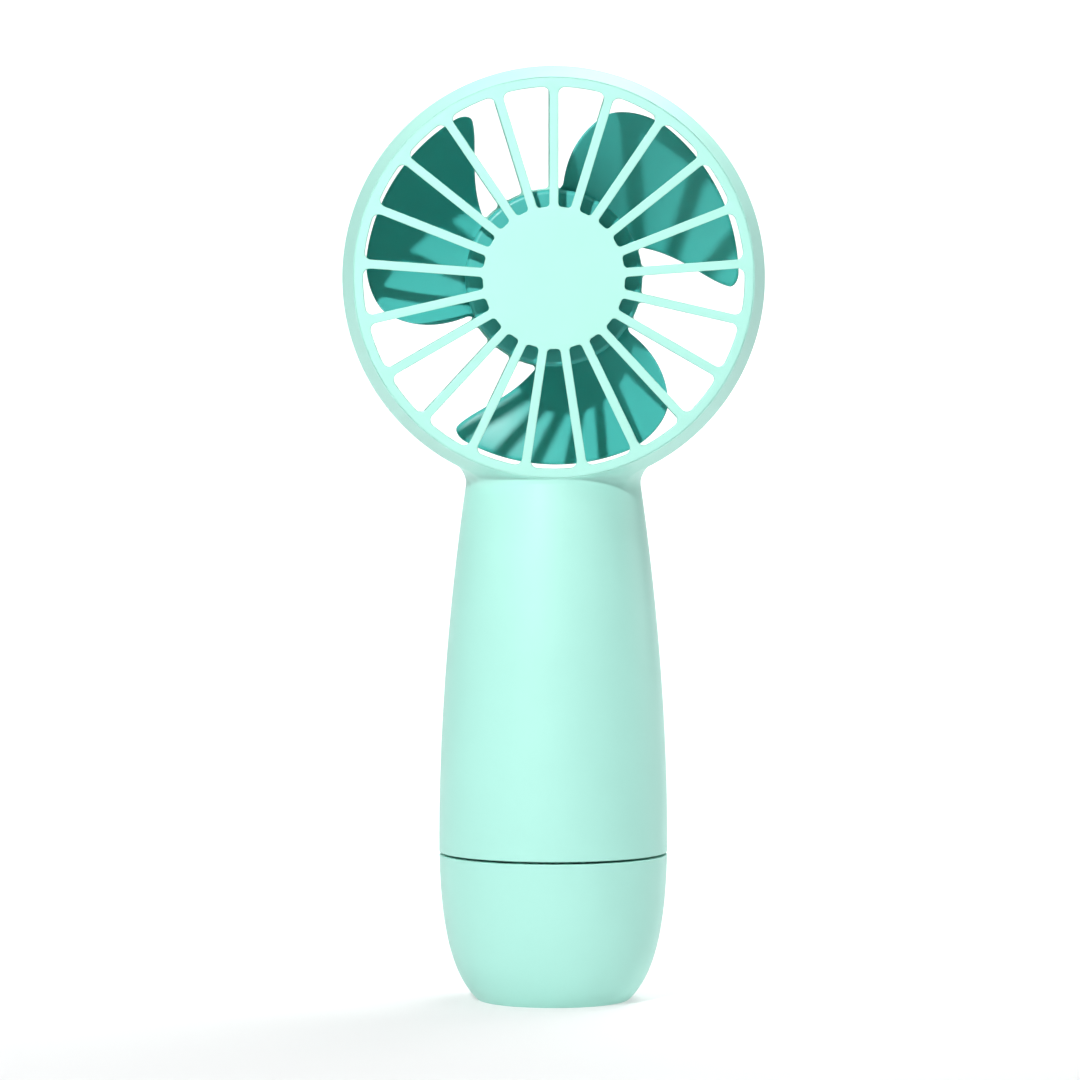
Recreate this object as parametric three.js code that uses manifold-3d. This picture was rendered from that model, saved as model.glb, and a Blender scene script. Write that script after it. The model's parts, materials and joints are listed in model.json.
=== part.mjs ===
// A handheld electric fan. A ring-shaped head with a spoked grille front and back stands on a round
// handle, which holds a battery and a circuit board and is closed by a screw-on bottom cap.
// Millimetres. +Z is up, the fan blows towards -Y, and the origin is where the base meets the table.

import * as THREE from 'three';
import { mergeVertices } from 'three/addons/utils/BufferGeometryUtils.js';
import Module from 'manifold-3d';

const wasm = await Module();
wasm.setup();

// ---- Driving dimensions ----

const GAP = 0.3; // between pieces that would touch
const PLASTIC_WALL = 2.0;

// Facets round a full turn. The large ones are multiples of four, so that each form keeps its full width.
const HEAD_FACETS = 48;
const HANDLE_FACETS = 32;
const MOTOR_FACETS = 24;
const SMALL_FACETS = 12;

// Head
const HEAD_CENTRE_Z = 149.8;
const HEAD_RADIUS = 43.35;
const HEAD_HALF_DEPTH = 18.3;
const NECK_JOIN_HALF_WIDTH = 40; // wider than the neck's flare

// Grilles
const GRILLE_THICKNESS = 2.2;
const SPOKE_COUNT = 21;
const SPOKE_WIDTH = 1.82;
const SLOT_INNER_RADIUS = 14.5;
const SLOT_INNER_CORNER = 0.8;
const SLOT_OUTER_CORNER = 1.4;
const REAR_DISC_RADIUS = 18.8;
const SKIRT_DEPTH = 2.2; // the wall behind each grille plate that snaps into the ring
const SKIRT_THICKNESS = 0.7;
const SKIRT_OVERLAP = 0.4;
const SNAP_COUNT = 6;
const SNAP_REACH = 0.5; // how far a snap tab stands into the ring's wall
const SNAP_HALF_WIDTH = 3;
const SNAP_DEPTH = 1;

// The two ends of the head. Each has a flat face, from which the ring slopes away, and a recess for its
// grille. The rear opening is the wider one, so that its rim stays hidden behind the front grille.
const FRONT = { side: -1, face: 40.9, slopeDepth: 7.5, seat: 40.8, bore: 40.4, slotOuter: 38.9 };
const REAR = { side: 1, face: 42.5, slopeDepth: 1.5, seat: 42.3, bore: 41.7, slotOuter: 40.5 };

// Impeller
const BLADE_COUNT = 3;
const HUB_FACETS = 30;
const HUB_RADIUS = 18.1;
const HUB_FRONT_Y = -13.6;
const HUB_REAR_Y = 13.4;
const HUB_WALL = 1.5;
const HUB_CHAMFER = 0.8;
const BLADE_TIP_RADIUS = 38.8;
const BLADE_THICKNESS = 1.4;
const BLADE_FRONT_Y = -9.5;
const BLADE_DEPTH = 22;
const BLADE_CAMBER = 3;

// Motor
const MOTOR_RADIUS = 12;
const MOTOR_FRONT_Y = -7;
const MOTOR_REAR_Y = 6.5;
const MOTOR_CAN_WALL = 0.8;
const MOTOR_SCREW_X = 7;
const MOTOR_SCREW_RADIUS = 0.9;
const MAGNET_THICKNESS = 1.9;
const MAGNET_HALF_ANGLE = 1.05;
const POLE_COUNT = 3;
const POLE_HALF_ANGLE = 0.72;
const POLE_WAIST = 3.4;
const COMMUTATOR_RADIUS = 2.3;
const SHAFT_RADIUS = 1;
const SHAFT_CHAMFER = 0.2;
const SHAFT_SOCKET_FLOOR = 0.9; // of the hub in front of the shaft
const BUSH_RADIUS = 3; // room for the front bush in the motor and its cup
const CUP_WALL = 2.2;
const CUP_FRONT_WALL = 1.5;
const CUP_INNER_RADIUS = MOTOR_RADIUS + 0.35;
const CUP_OUTER_RADIUS = CUP_INNER_RADIUS + CUP_WALL;
const COVER_THICKNESS = 1.6;
const TERMINAL_X = 5;
const TERMINAL_DROP = 5.9; // below the fan's axis
const TERMINAL_END_Y = 12.4;
const WIRE_RADIUS = 0.5;
const WIRE_PORT_HALF_WIDTH = 7.6; // of the slot through which the motor's wires leave the head for the handle
const WIRE_PORT_FRONT_Y = 10.9;
const WIRE_PORT_REAR_Y = 14.2;

// Handle
const NECK_RADIUS = 18;
const NECK_Z = 107.8;
const FLARE_RADIUS = 6.2;
const FLARE_ANGLE = 1.06;
const FLARE_RISE = 3.2; // of the straight stretch that runs on from the flare's arc into the ring
const FLARE_SPREAD = 4.56;
const HANDLE_RADIUS = 23.7;
const HANDLE_WIDEST_Z = 34;
const HANDLE_TAPER_POWER = 1.87;
const HANDLE_CAVITY_TOP_Z = 104;
const BASE_RADIUS = 15.7;
const BASE_BULGE = [5.6, 5.2]; // how the cap's side leaves the base, outwards and upwards
const CAP_SIDE_PULL_Z = 16; // the lower this is, the fuller the cap
const SEAM_Z = 30.6;
const SEAM_GAP = 0.5;

// Bottom cap and its quick thread
const CAP_TOP_Z = SEAM_Z - SEAM_GAP / 2;
const CAP_WALL = 2.2;
const CAP_FLOOR = 2.6;
const CAP_SHOULDER = 2.4;
const SPIGOT_RADIUS = 21;
const SPIGOT_BORE = 19.2;
const SPIGOT_TOP_Z = 37.5;
const SEAL_DEPTH = 1;
const SEAL_LOW_Z = 31.2;
const SEAL_HEIGHT = 1.4;
const PAD_RADIUS = 12;
const PAD_THICKNESS = 0.9;
const THREAD_STARTS = 3;
const THREAD_TURN = Math.PI / 2;
const THREAD_TRAVEL = 4;
const THREAD_BORE_RADIUS = 21.5;
const THREAD_BORE_TOP_Z = 39;
const THREAD_RUN_OUT = 0.3; // radians
const RISE_PER_RADIAN = THREAD_TRAVEL / THREAD_TURN;
const LUG_ARC = 0.34;
const LUG_BOTTOM_Z = 34.3;
const LUG_HEIGHT = 1.6;
const LUG_REACH = 0.9;

// Battery and its cradle
const CELL_RADIUS = 9.2;
const CELL_LENGTH = 65;
const CELL_BOTTOM_Z = 26.5;
const CELL_TOP_Z = CELL_BOTTOM_Z + CELL_LENGTH;
const CELL_Y = -5.5;
const CELL_CAP_RADIUS = 3;
const CELL_CAP_HEIGHT = 0.9;
const CRADLE_WALL = 1.6;
const CRADLE_INNER = CELL_RADIUS + 0.5;
const CRADLE_OUTER = CRADLE_INNER + CRADLE_WALL;
const CRADLE_BOTTOM_Z = 20;
const CRADLE_TOP_Z = 96;
const LEDGE_FRONT_Y = 6.5;
const LEDGE_HALF_HEIGHT = 3;
const EAR_BOTTOM_Z = 40;
const EAR_THICKNESS = 2.4;
const EAR_HALF_WIDTH = 3.4;
const CRADLE_SCREW_X = 18.1;
const CRADLE_SCREW_RADIUS = 1.1;
const CRADLE_SCREW_LENGTH = 11;
const BOSS_RADIUS = 3.4;
const BOSS_LENGTH = 13;
const CONTACT_THICKNESS = 0.4;
const CONTACT_HALF_WIDTH = 4;
const STRIP_HALF_WIDTH = 2.5;
const SPRING_TURNS = 2.5;
const SPRING_WIRE_RADIUS = 0.35;
const SPRING_BOTTOM_RADIUS = 5.4;
const SPRING_TOP_RADIUS = 3.2;

// Circuit board and controls
const BOARD_Y = 11;
const BOARD_THICKNESS = 1.6;
const BOARD_BACK_Y = BOARD_Y + BOARD_THICKNESS;
const BOARD_WIDTH = 18;
const BOARD_BOTTOM_Z = 38;
const BOARD_TOP_Z = 93;
const BOARD_SCREW_RADIUS = 0.8;
const BOARD_SCREW_Z = [55.5, 75.5];
const CRADLE_BACK_Y = BOARD_Y - GAP;
const ON_BOARD_Y = BOARD_BACK_Y + GAP; // where the components on the back of the board begin
const PORT_Z = 45;
const PORT_HALF_LENGTH = 2.9;
const PORT_RADIUS = 1.65;
const PORT_WALL = 0.35;
const PORT_BACK = 2.5; // from the board to the bottom of the socket
const PORT_MOUTH_Y = 22.9;
const TONGUE_HALF_WIDTH = 3;
const TONGUE_HALF_HEIGHT = 0.35;
const LED_Z = 68;
const LIGHT_PIPE_RADIUS = 1.5;
const LIGHT_PIPE_INSET = 0.1;
const BUTTON_Z = 82;
const BUTTON_RADIUS = 5.3;
const BUTTON_PROUD = 0.5;
const BUTTON_STEM_RADIUS = 1.6;
const FLANGE_RADIUS = 6.2;
const FLANGE_THICKNESS = 0.9;
const FLANGE_END_Y = 17.2;
const SWITCH_HALF_WIDTH = 3;
const SWITCH_HEIGHT = 2.4;
const PLUNGER_RADIUS = 1.5;
const PLUNGER_END_Y = ON_BOARD_Y + SWITCH_HEIGHT + 0.9;
const CAPACITOR_RADIUS = 2.5;
const CAPACITOR_HEIGHT = 5;
const CONNECTOR_LOW_Z = 88.7; // clear of the button's flange
const CONNECTOR_HALF_WIDTH = 3;
const CONNECTOR_HEIGHT = 3.4;
const CONNECTOR_PIN_X = 1.3;

const CUT_PAST = 1; // how far a cutting shape runs past the face it cuts

// ---- Materials ----

function material(color, roughness, metalness = 0) {
  return new THREE.MeshStandardMaterial({ color, roughness, metalness });
}

const mintPlastic = material(0xbefff0, 0.45);
const tealPlastic = material(0x3fa398, 0.4);
const whitePlastic = material(0xe8ece9, 0.5);
const blackPlastic = material(0x202224, 0.5);
const clearPlastic = material(0xe6fff8, 0.15);
const greenBoard = material(0x1d6b45, 0.5);
const steel = material(0xb9bcc0, 0.35, 1);
const brass = material(0xc9a55a, 0.35, 1);
const copper = material(0xb4693c, 0.35, 1);
const ferrite = material(0x3a3c3f, 0.7);
const cellWrap = material(0x2f6fb0, 0.4);
const redCover = material(0xb52a2a, 0.5);
const greyRubber = material(0x6f8f89, 0.85);

// ---- Solids ----

// A closed geometry as a solid, with its collapsed triangles dropped and its faces turned outwards.
function solid(geometry) {
  const bare = geometry.clone();
  bare.deleteAttribute('normal');
  bare.deleteAttribute('uv');
  const merged = mergeVertices(bare, 1e-4);
  const points = merged.attributes.position.array;
  const corners = merged.index.array;
  const triangles = [];
  for (let i = 0; i < corners.length; i += 3) {
    const [a, b, c] = [corners[i], corners[i + 1], corners[i + 2]];
    if (a !== b && b !== c && c !== a) triangles.push(a, b, c);
  }
  if (signedVolume(points, triangles) < 0) triangles.reverse();
  return new wasm.Manifold(
    new wasm.Mesh({
      numProp: 3,
      vertProperties: Float32Array.from(points),
      triVerts: Uint32Array.from(triangles),
    }),
  );
}

function signedVolume(points, triangles) {
  const at = (i) => new THREE.Vector3().fromArray(points, 3 * i);
  let sum = 0;
  for (let i = 0; i < triangles.length; i += 3) {
    const [a, b, c] = [at(triangles[i]), at(triangles[i + 1]), at(triangles[i + 2])];
    sum += a.dot(b.cross(c));
  }
  return sum;
}

const join = (...solids) => solids.reduce((whole, next) => whole.add(next));
const cut = (whole, ...solids) => solids.reduce((left, next) => left.subtract(next), whole);

function piece(name, shape, look) {
  const mesh = shape.getMesh();
  const geometry = new THREE.BufferGeometry();
  geometry.setAttribute('position', new THREE.BufferAttribute(Float32Array.from(mesh.vertProperties), 3));
  geometry.setIndex(new THREE.BufferAttribute(Uint32Array.from(mesh.triVerts), 1));
  geometry.computeVertexNormals();
  const made = new THREE.Mesh(geometry, look);
  made.name = name;
  return made;
}

// ---- Shared shapes ----

// A profile of [radius, height] points turned about Z.
function turnedZ(profile, segments, x = 0, y = 0, z = 0) {
  const points = profile.map(([radius, height]) => new THREE.Vector2(radius, height));
  return solid(new THREE.LatheGeometry(points, segments).rotateX(Math.PI / 2).translate(x, y, z));
}

// A profile of [radius, y] points turned about the Y axis through x, z.
function turnedY(profile, segments, x = 0, z = 0) {
  const points = profile.map(([radius, y]) => new THREE.Vector2(radius, y));
  return solid(new THREE.LatheGeometry(points, segments).translate(x, 0, z));
}

// A profile of [radius, y] points turned about the fan's own axis.
const onShaft = (profile, segments) => turnedY(profile, segments, 0, HEAD_CENTRE_Z);

// A profile that closes on itself: a ring of rectangular section.
const ringProfile = (inner, outer, low, high) => [
  [inner, low],
  [outer, low],
  [outer, high],
  [inner, high],
  [inner, low],
];

// A profile that starts and ends on the axis: a plain disc or rod.
const discProfile = (radius, low, high) => [
  [0, low],
  [radius, low],
  [radius, high],
  [0, high],
];

// A box from its lowest to its highest corner.
function box(low, high) {
  const size = high.map((value, i) => value - low[i]);
  const middle = high.map((value, i) => (value + low[i]) / 2);
  return solid(new THREE.BoxGeometry(...size).translate(...middle));
}

// A flat outline in X and Z, extruded along Y from one y to another.
function plateY(shape, fromY, toY, curveSegments = 4) {
  const depth = toY - fromY;
  const geometry = new THREE.ExtrudeGeometry(shape, { depth, bevelEnabled: false, curveSegments });
  return solid(geometry.rotateX(Math.PI / 2).translate(0, toY, 0));
}

// A flat outline in X and Y, extruded up from one height to another.
function plateZ(shape, fromZ, toZ, curveSegments = 12) {
  const depth = toZ - fromZ;
  const geometry = new THREE.ExtrudeGeometry(shape, { depth, bevelEnabled: false, curveSegments });
  return solid(geometry.translate(0, 0, fromZ));
}

// A round wire along a smooth curve through the points.
function wire(points, radius, steps) {
  const path = new THREE.CatmullRomCurve3(points.map((point) => new THREE.Vector3(...point)));
  const section = new THREE.Shape().absarc(0, 0, radius, 0, 2 * Math.PI);
  return solid(new THREE.ExtrudeGeometry(section, { steps, extrudePath: path, curveSegments: 4 }));
}

// A pan-head screw along +Z: the underside of its head is at z = 0 and its shank goes up.
function screw(headRadius, headHeight, shankRadius, length) {
  const tip = shankRadius * 0.6;
  const body = turnedZ(
    [
      [0, -headHeight],
      [headRadius * 0.8, -headHeight],
      [headRadius, -headHeight * 0.6],
      [headRadius, 0],
      [shankRadius, 0],
      [shankRadius, length - tip],
      [shankRadius - tip, length],
      [0, length],
    ],
    SMALL_FACETS,
  );
  const slotWidth = headRadius * 0.16;
  const slotLength = headRadius * 0.55;
  const slotDepth = headHeight * 0.5;
  return cut(
    body,
    box([-slotWidth, -slotLength, -headHeight - 1], [slotWidth, slotLength, -headHeight + slotDepth]),
    box([-slotLength, -slotWidth, -headHeight - 1], [slotLength, slotWidth, -headHeight + slotDepth]),
  );
}

// ---- Outer form ----

// Radius of the handle at a height above its widest ring: it narrows ever faster towards the neck.
function handleRadius(z) {
  const share = Math.max(0, (z - HANDLE_WIDEST_Z) / (NECK_Z - HANDLE_WIDEST_Z));
  return HANDLE_RADIUS - (HANDLE_RADIUS - NECK_RADIUS) * share ** HANDLE_TAPER_POWER;
}

// Points of the handle's side from one height to another.
function handleSide(fromZ, toZ, steps, inset = 0) {
  const points = [];
  for (let i = 0; i <= steps; i += 1) {
    const z = fromZ + ((toZ - fromZ) * i) / steps;
    points.push([handleRadius(z) - inset, z]);
  }
  return points;
}

// Points of the bottom cap's side, from the edge of the flat base up to its upright top.
function capSide(inset, fromZ, toZ, steps) {
  const curve = new THREE.CubicBezierCurve(
    new THREE.Vector2(BASE_RADIUS, 0),
    new THREE.Vector2(BASE_RADIUS + BASE_BULGE[0], BASE_BULGE[1]),
    new THREE.Vector2(HANDLE_RADIUS, CAP_SIDE_PULL_Z),
    new THREE.Vector2(HANDLE_RADIUS, HANDLE_WIDEST_Z),
  );
  return curve
    .getPoints(steps)
    .filter((point) => point.y > fromZ && point.y < toZ)
    .map((point) => [point.x - inset, point.y]);
}

// The neck's flare into the head: a quarter round whose foot is the neck itself.
function neckFlare() {
  const points = [];
  const steps = 6;
  for (let i = 0; i <= steps; i += 1) {
    const angle = (FLARE_ANGLE * i) / steps;
    const outwards = FLARE_RADIUS * (1 - Math.cos(angle));
    points.push([NECK_RADIUS + outwards, NECK_Z + FLARE_RADIUS * Math.sin(angle)]);
  }
  const [lastRadius, lastZ] = points[steps];
  return [...points, [lastRadius + FLARE_SPREAD, lastZ + FLARE_RISE]];
}

// ---- Main shell: ring, neck and handle in one moulding ----

const shoulderY = (end) => end.side * (HEAD_HALF_DEPTH - end.slopeDepth);
const PLATE_BACK = HEAD_HALF_DEPTH - GRILLE_THICKNESS; // depth of each grille plate's inner face

function headDrum() {
  const profile = [
    [0, -HEAD_HALF_DEPTH],
    [FRONT.face, -HEAD_HALF_DEPTH],
    [HEAD_RADIUS, shoulderY(FRONT)],
    [HEAD_RADIUS, shoulderY(REAR)],
    [REAR.face, HEAD_HALF_DEPTH],
    [0, HEAD_HALF_DEPTH],
  ];
  return onShaft(profile, HEAD_FACETS);
}

// The space inside the ring, with a recess at each end for a grille and its skirt.
function headBore() {
  const seat = PLATE_BACK - GAP;
  const past = HEAD_HALF_DEPTH + CUT_PAST;
  const rearStep = PLATE_BACK - SKIRT_DEPTH - GAP;
  const profile = [
    [0, -past],
    [FRONT.seat, -past],
    [FRONT.seat, -seat],
    [FRONT.bore, -seat],
    [FRONT.bore, rearStep],
    [REAR.bore, rearStep],
    [REAR.bore, seat],
    [REAR.seat, seat],
    [REAR.seat, past],
    [0, past],
  ];
  return onShaft(profile, HEAD_FACETS);
}

// Small blocks round the head at one end, at the depth of its grille's snap tabs.
function roundHead(end, innerRadius, outerRadius, halfWidth, nearY, farY) {
  const low = Math.min(end.side * nearY, end.side * farY);
  const high = Math.max(end.side * nearY, end.side * farY);
  return Array.from({ length: SNAP_COUNT }, (_, i) => {
    const geometry = new THREE.BoxGeometry(2 * halfWidth, high - low, outerRadius - innerRadius);
    geometry.translate(0, (low + high) / 2, (innerRadius + outerRadius) / 2);
    geometry.rotateY((2 * Math.PI * i) / SNAP_COUNT);
    return solid(geometry.translate(0, 0, HEAD_CENTRE_Z));
  });
}

const SNAP_FAR_Y = PLATE_BACK - SNAP_DEPTH;
const SNAP_NEAR_Y = SNAP_FAR_Y - SNAP_DEPTH;

const snapPockets = (end) => roundHead(
  end,
  end.bore - CUT_PAST,
  end.bore + SNAP_REACH + GAP,
  SNAP_HALF_WIDTH + GAP,
  SNAP_NEAR_Y - GAP,
  SNAP_FAR_Y + GAP,
);

function wirePort(rearY) {
  const low = [-WIRE_PORT_HALF_WIDTH, WIRE_PORT_FRONT_Y, HANDLE_CAVITY_TOP_Z - 2 * CUT_PAST];
  return box(low, [WIRE_PORT_HALF_WIDTH, rearY, HEAD_CENTRE_Z - FRONT.bore + 3 * CUT_PAST]);
}

// A band that climbs round Z: a ring sector whose height rises steadily with its angle.
function helicalBand(inner, outer, height, fromAngle, toAngle, startZ, risePerRadian) {
  const outline = new THREE.Shape();
  outline.absarc(0, 0, outer, 0, toAngle - fromAngle, false);
  outline.absarc(0, 0, inner, toAngle - fromAngle, 0, true);
  const options = { depth: height, bevelEnabled: false, curveSegments: 5 };
  const geometry = new THREE.ExtrudeGeometry(outline, options);
  const position = geometry.attributes.position;
  for (let i = 0; i < position.count; i += 1) {
    const angle = Math.atan2(position.getY(i), position.getX(i));
    position.setZ(i, position.getZ(i) + startZ + angle * risePerRadian);
  }
  return solid(geometry.rotateZ(fromAngle));
}

// The height of the thread's lower edge rises with the angle, so the cap goes down as it turns clockwise.
const lugStart = (i) => (2 * Math.PI * i) / THREAD_STARTS;

function threadGroove(i) {
  const clearance = GAP / THREAD_BORE_RADIUS;
  const start = lugStart(i) - THREAD_TURN - THREAD_RUN_OUT;
  const end = lugStart(i) + LUG_ARC + clearance;
  const lowEdge = LUG_BOTTOM_Z - GAP + (start - lugStart(i)) * RISE_PER_RADIAN;
  const reach = THREAD_BORE_RADIUS + LUG_REACH + GAP;
  const height = LUG_HEIGHT + 2 * GAP;
  return helicalBand(THREAD_BORE_RADIUS - CUT_PAST, reach, height, start, end, lowEdge, RISE_PER_RADIAN);
}

function threadLug(i) {
  const reach = THREAD_BORE_RADIUS + LUG_REACH;
  const root = SPIGOT_RADIUS - 0.5;
  const end = lugStart(i) + LUG_ARC;
  return helicalBand(root, reach, LUG_HEIGHT, lugStart(i), end, LUG_BOTTOM_Z, RISE_PER_RADIAN);
}

const eachStart = (make) => Array.from({ length: THREAD_STARTS }, (_, i) => make(i));

// A boss inside the handle's wall for the screw through the battery cradle's ear.
function shellScrewBoss(side) {
  const bottom = EAR_BOTTOM_Z + EAR_THICKNESS + GAP;
  const top = bottom + BOSS_LENGTH;
  const profile = ringProfile(CRADLE_SCREW_RADIUS + GAP, BOSS_RADIUS, bottom, top);
  const boss = turnedZ(profile, SMALL_FACETS, side * CRADLE_SCREW_X);
  const withinWall = discProfile(HANDLE_RADIUS - PLASTIC_WALL / 2, bottom - CUT_PAST, top + CUT_PAST);
  return boss.intersect(turnedZ(withinWall, HANDLE_FACETS));
}

function roundedSlot(halfLength, radius, centreZ) {
  const outline = new THREE.Shape();
  outline.absarc(halfLength, centreZ, radius, -Math.PI / 2, Math.PI / 2);
  outline.absarc(-halfLength, centreZ, radius, Math.PI / 2, (3 * Math.PI) / 2);
  return outline;
}

function handleCavity() {
  const bottomZ = SEAM_Z - CUT_PAST;
  const profile = [
    [0, bottomZ],
    [THREAD_BORE_RADIUS, bottomZ],
    [THREAD_BORE_RADIUS, THREAD_BORE_TOP_Z],
    ...handleSide(THREAD_BORE_TOP_Z + 1, HANDLE_CAVITY_TOP_Z, 5, PLASTIC_WALL),
    [0, HANDLE_CAVITY_TOP_Z],
  ];
  return turnedZ(profile, HANDLE_FACETS);
}

// A hole through the back of the handle's wall.
function backHole(radius, z, facets) {
  const fromY = ON_BOARD_Y + SWITCH_HEIGHT;
  return turnedY(discProfile(radius, fromY, HANDLE_RADIUS + CUT_PAST), facets, 0, z);
}

function mainShell() {
  const bottomZ = SEAM_Z + SEAM_GAP / 2;
  const grip = turnedZ([[0, bottomZ], ...handleSide(bottomZ, NECK_Z, 9), [0, NECK_Z]], HANDLE_FACETS);
  const flareTop = neckFlare();
  const flareProfile = [[0, NECK_Z - 1], [NECK_RADIUS, NECK_Z - 1], ...flareTop, [0, flareTop.at(-1)[1]]];
  const betweenFaces = box(
    [-NECK_JOIN_HALF_WIDTH, -HEAD_HALF_DEPTH, NECK_Z - 2],
    [NECK_JOIN_HALF_WIDTH, HEAD_HALF_DEPTH, HEAD_CENTRE_Z],
  );
  const flare = turnedZ(flareProfile, HANDLE_FACETS).intersect(betweenFaces);
  const hollow = cut(
    join(grip, flare, headDrum()),
    headBore(),
    ...snapPockets(FRONT),
    ...snapPockets(REAR),
    handleCavity(),
    wirePort(WIRE_PORT_REAR_Y),
    ...eachStart(threadGroove),
  );
  const portOutline = roundedSlot(PORT_HALF_LENGTH, PORT_RADIUS + GAP, PORT_Z);
  const shell = cut(
    join(hollow, shellScrewBoss(-1), shellScrewBoss(1)),
    backHole(BUTTON_RADIUS + GAP, BUTTON_Z, MOTOR_FACETS),
    backHole(LIGHT_PIPE_RADIUS + GAP, LED_Z, SMALL_FACETS),
    plateY(portOutline, ON_BOARD_Y + PORT_BACK, HANDLE_RADIUS + CUT_PAST, 6),
  );
  return piece('main_shell', shell, mintPlastic);
}

// ---- Grilles ----

// One slot between two spokes, centred on +X: straight sides parallel to the spokes and rounded corners.
function slotOutline(outerRadius) {
  const half = Math.PI / SPOKE_COUNT;
  const side = SPOKE_WIDTH / 2;
  // A corner arc touches a side line and a circle of the slot's inner or outer radius.
  const corner = (radius, centreRadius) => {
    const offset = Math.asin((side + radius) / centreRadius);
    const angle = half - offset;
    return new THREE.Vector2(centreRadius * Math.cos(angle), centreRadius * Math.sin(angle));
  };
  const outer = corner(SLOT_OUTER_CORNER, outerRadius - SLOT_OUTER_CORNER);
  const inner = corner(SLOT_INNER_CORNER, SLOT_INNER_RADIUS + SLOT_INNER_CORNER);
  const outerAngle = outer.angle();
  const innerAngle = inner.angle();
  const sideNormal = half + Math.PI / 2;
  const outline = new THREE.Shape();
  outline.absarc(0, 0, outerRadius, -outerAngle, outerAngle);
  outline.absarc(outer.x, outer.y, SLOT_OUTER_CORNER, outerAngle, sideNormal);
  outline.absarc(inner.x, inner.y, SLOT_INNER_CORNER, sideNormal, Math.PI + innerAngle);
  outline.absarc(0, 0, SLOT_INNER_RADIUS, innerAngle, -innerAngle, true);
  outline.absarc(inner.x, -inner.y, SLOT_INNER_CORNER, Math.PI - innerAngle, 2 * Math.PI - sideNormal);
  outline.absarc(outer.x, -outer.y, SLOT_OUTER_CORNER, -sideNormal, -outerAngle);
  return outline.getPoints(1);
}

// The outline turned so that one spoke stands straight up from the centre.
function slotHole(i, innerRadius, outerRadius) {
  const turn = Math.PI / 2 + ((i + 0.5) * 2 * Math.PI) / SPOKE_COUNT;
  const centre = new THREE.Vector2();
  const points = slotOutline(outerRadius).map((point) => {
    const kept = point.length() < innerRadius ? point.clone().setLength(innerRadius) : point.clone();
    return kept.rotateAround(centre, turn);
  });
  return new THREE.Path(points);
}

function spokedPlate(end, innerRadius) {
  const outline = new THREE.Shape();
  outline.absarc(0, 0, end.seat - GAP, 0, 2 * Math.PI);
  for (let i = 0; i < SPOKE_COUNT; i += 1) outline.holes.push(slotHole(i, innerRadius, end.slotOuter));
  const fromY = Math.min(end.side * PLATE_BACK, end.side * HEAD_HALF_DEPTH);
  return plateY(outline, fromY, fromY + GRILLE_THICKNESS, HEAD_FACETS / 2).translate([0, 0, HEAD_CENTRE_Z]);
}

// The thin wall behind a grille's rim, with the tabs that snap into the ring's pockets.
function snapSkirt(end) {
  const outer = end.bore - GAP;
  const inner = outer - SKIRT_THICKNESS;
  const profile = ringProfile(inner, outer, PLATE_BACK - SKIRT_DEPTH, PLATE_BACK + SKIRT_OVERLAP);
  const wall = onShaft(profile.map(([radius, y]) => [radius, end.side * y]), HEAD_FACETS);
  const reach = end.bore + SNAP_REACH;
  const tabs = roundHead(end, outer - SKIRT_OVERLAP, reach, SNAP_HALF_WIDTH, SNAP_NEAR_Y, SNAP_FAR_Y);
  return join(wall, ...tabs);
}

function frontGrille() {
  return piece('front_grille', join(spokedPlate(FRONT, SLOT_INNER_RADIUS), snapSkirt(FRONT)), mintPlastic);
}

function motorCup() {
  const front = MOTOR_FRONT_Y - GAP - CUP_FRONT_WALL;
  const profile = [
    [BUSH_RADIUS + GAP, front],
    [CUP_OUTER_RADIUS, front],
    [CUP_OUTER_RADIUS, HEAD_HALF_DEPTH],
    [CUP_INNER_RADIUS, HEAD_HALF_DEPTH],
    [CUP_INNER_RADIUS, MOTOR_FRONT_Y - GAP],
    [BUSH_RADIUS + GAP, MOTOR_FRONT_Y - GAP],
    [BUSH_RADIUS + GAP, front],
  ];
  return onShaft(profile, MOTOR_FACETS);
}

function rearGrille() {
  const plate = join(spokedPlate(REAR, REAR_DISC_RADIUS), snapSkirt(REAR));
  const open = discProfile(CUP_INNER_RADIUS + 1, PLATE_BACK - CUT_PAST, HEAD_HALF_DEPTH + CUT_PAST);
  const rim = cut(plate, onShaft(open, MOTOR_FACETS), wirePort(PLATE_BACK));
  const screwHole = (side) => {
    const profile = discProfile(MOTOR_SCREW_RADIUS + GAP, MOTOR_FRONT_Y - 5, MOTOR_FRONT_Y + 1);
    return turnedY(profile, SMALL_FACETS, side * MOTOR_SCREW_X, HEAD_CENTRE_Z);
  };
  // An opening in the cup's wall for the two wires.
  const wireNotch = box(
    [-4, WIRE_PORT_FRONT_Y + 1, HEAD_CENTRE_Z - CUP_OUTER_RADIUS - CUT_PAST],
    [4, PLATE_BACK + 0.01, HEAD_CENTRE_Z - CUP_INNER_RADIUS + 2 * CUT_PAST],
  );
  const whole = cut(join(rim, motorCup()), screwHole(-1), screwHole(1), wireNotch);
  return piece('rear_grille', whole, mintPlastic);
}

function motorCover() {
  const disc = discProfile(CUP_INNER_RADIUS - GAP, HEAD_HALF_DEPTH - COVER_THICKNESS, HEAD_HALF_DEPTH);
  return piece('motor_cover', onShaft(disc, MOTOR_FACETS), mintPlastic);
}

// ---- Impeller ----

// The two long edges of a blade, from its root, share 0, to its tip, share 1. Angles are clockwise from
// straight up, seen from the front.
const convexEdge = (share) => THREE.MathUtils.degToRad(5.7 + 18 * share ** 2);
const concaveEdge = (share) => THREE.MathUtils.degToRad(69 + 33 * share - 9 * share ** 4);

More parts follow.
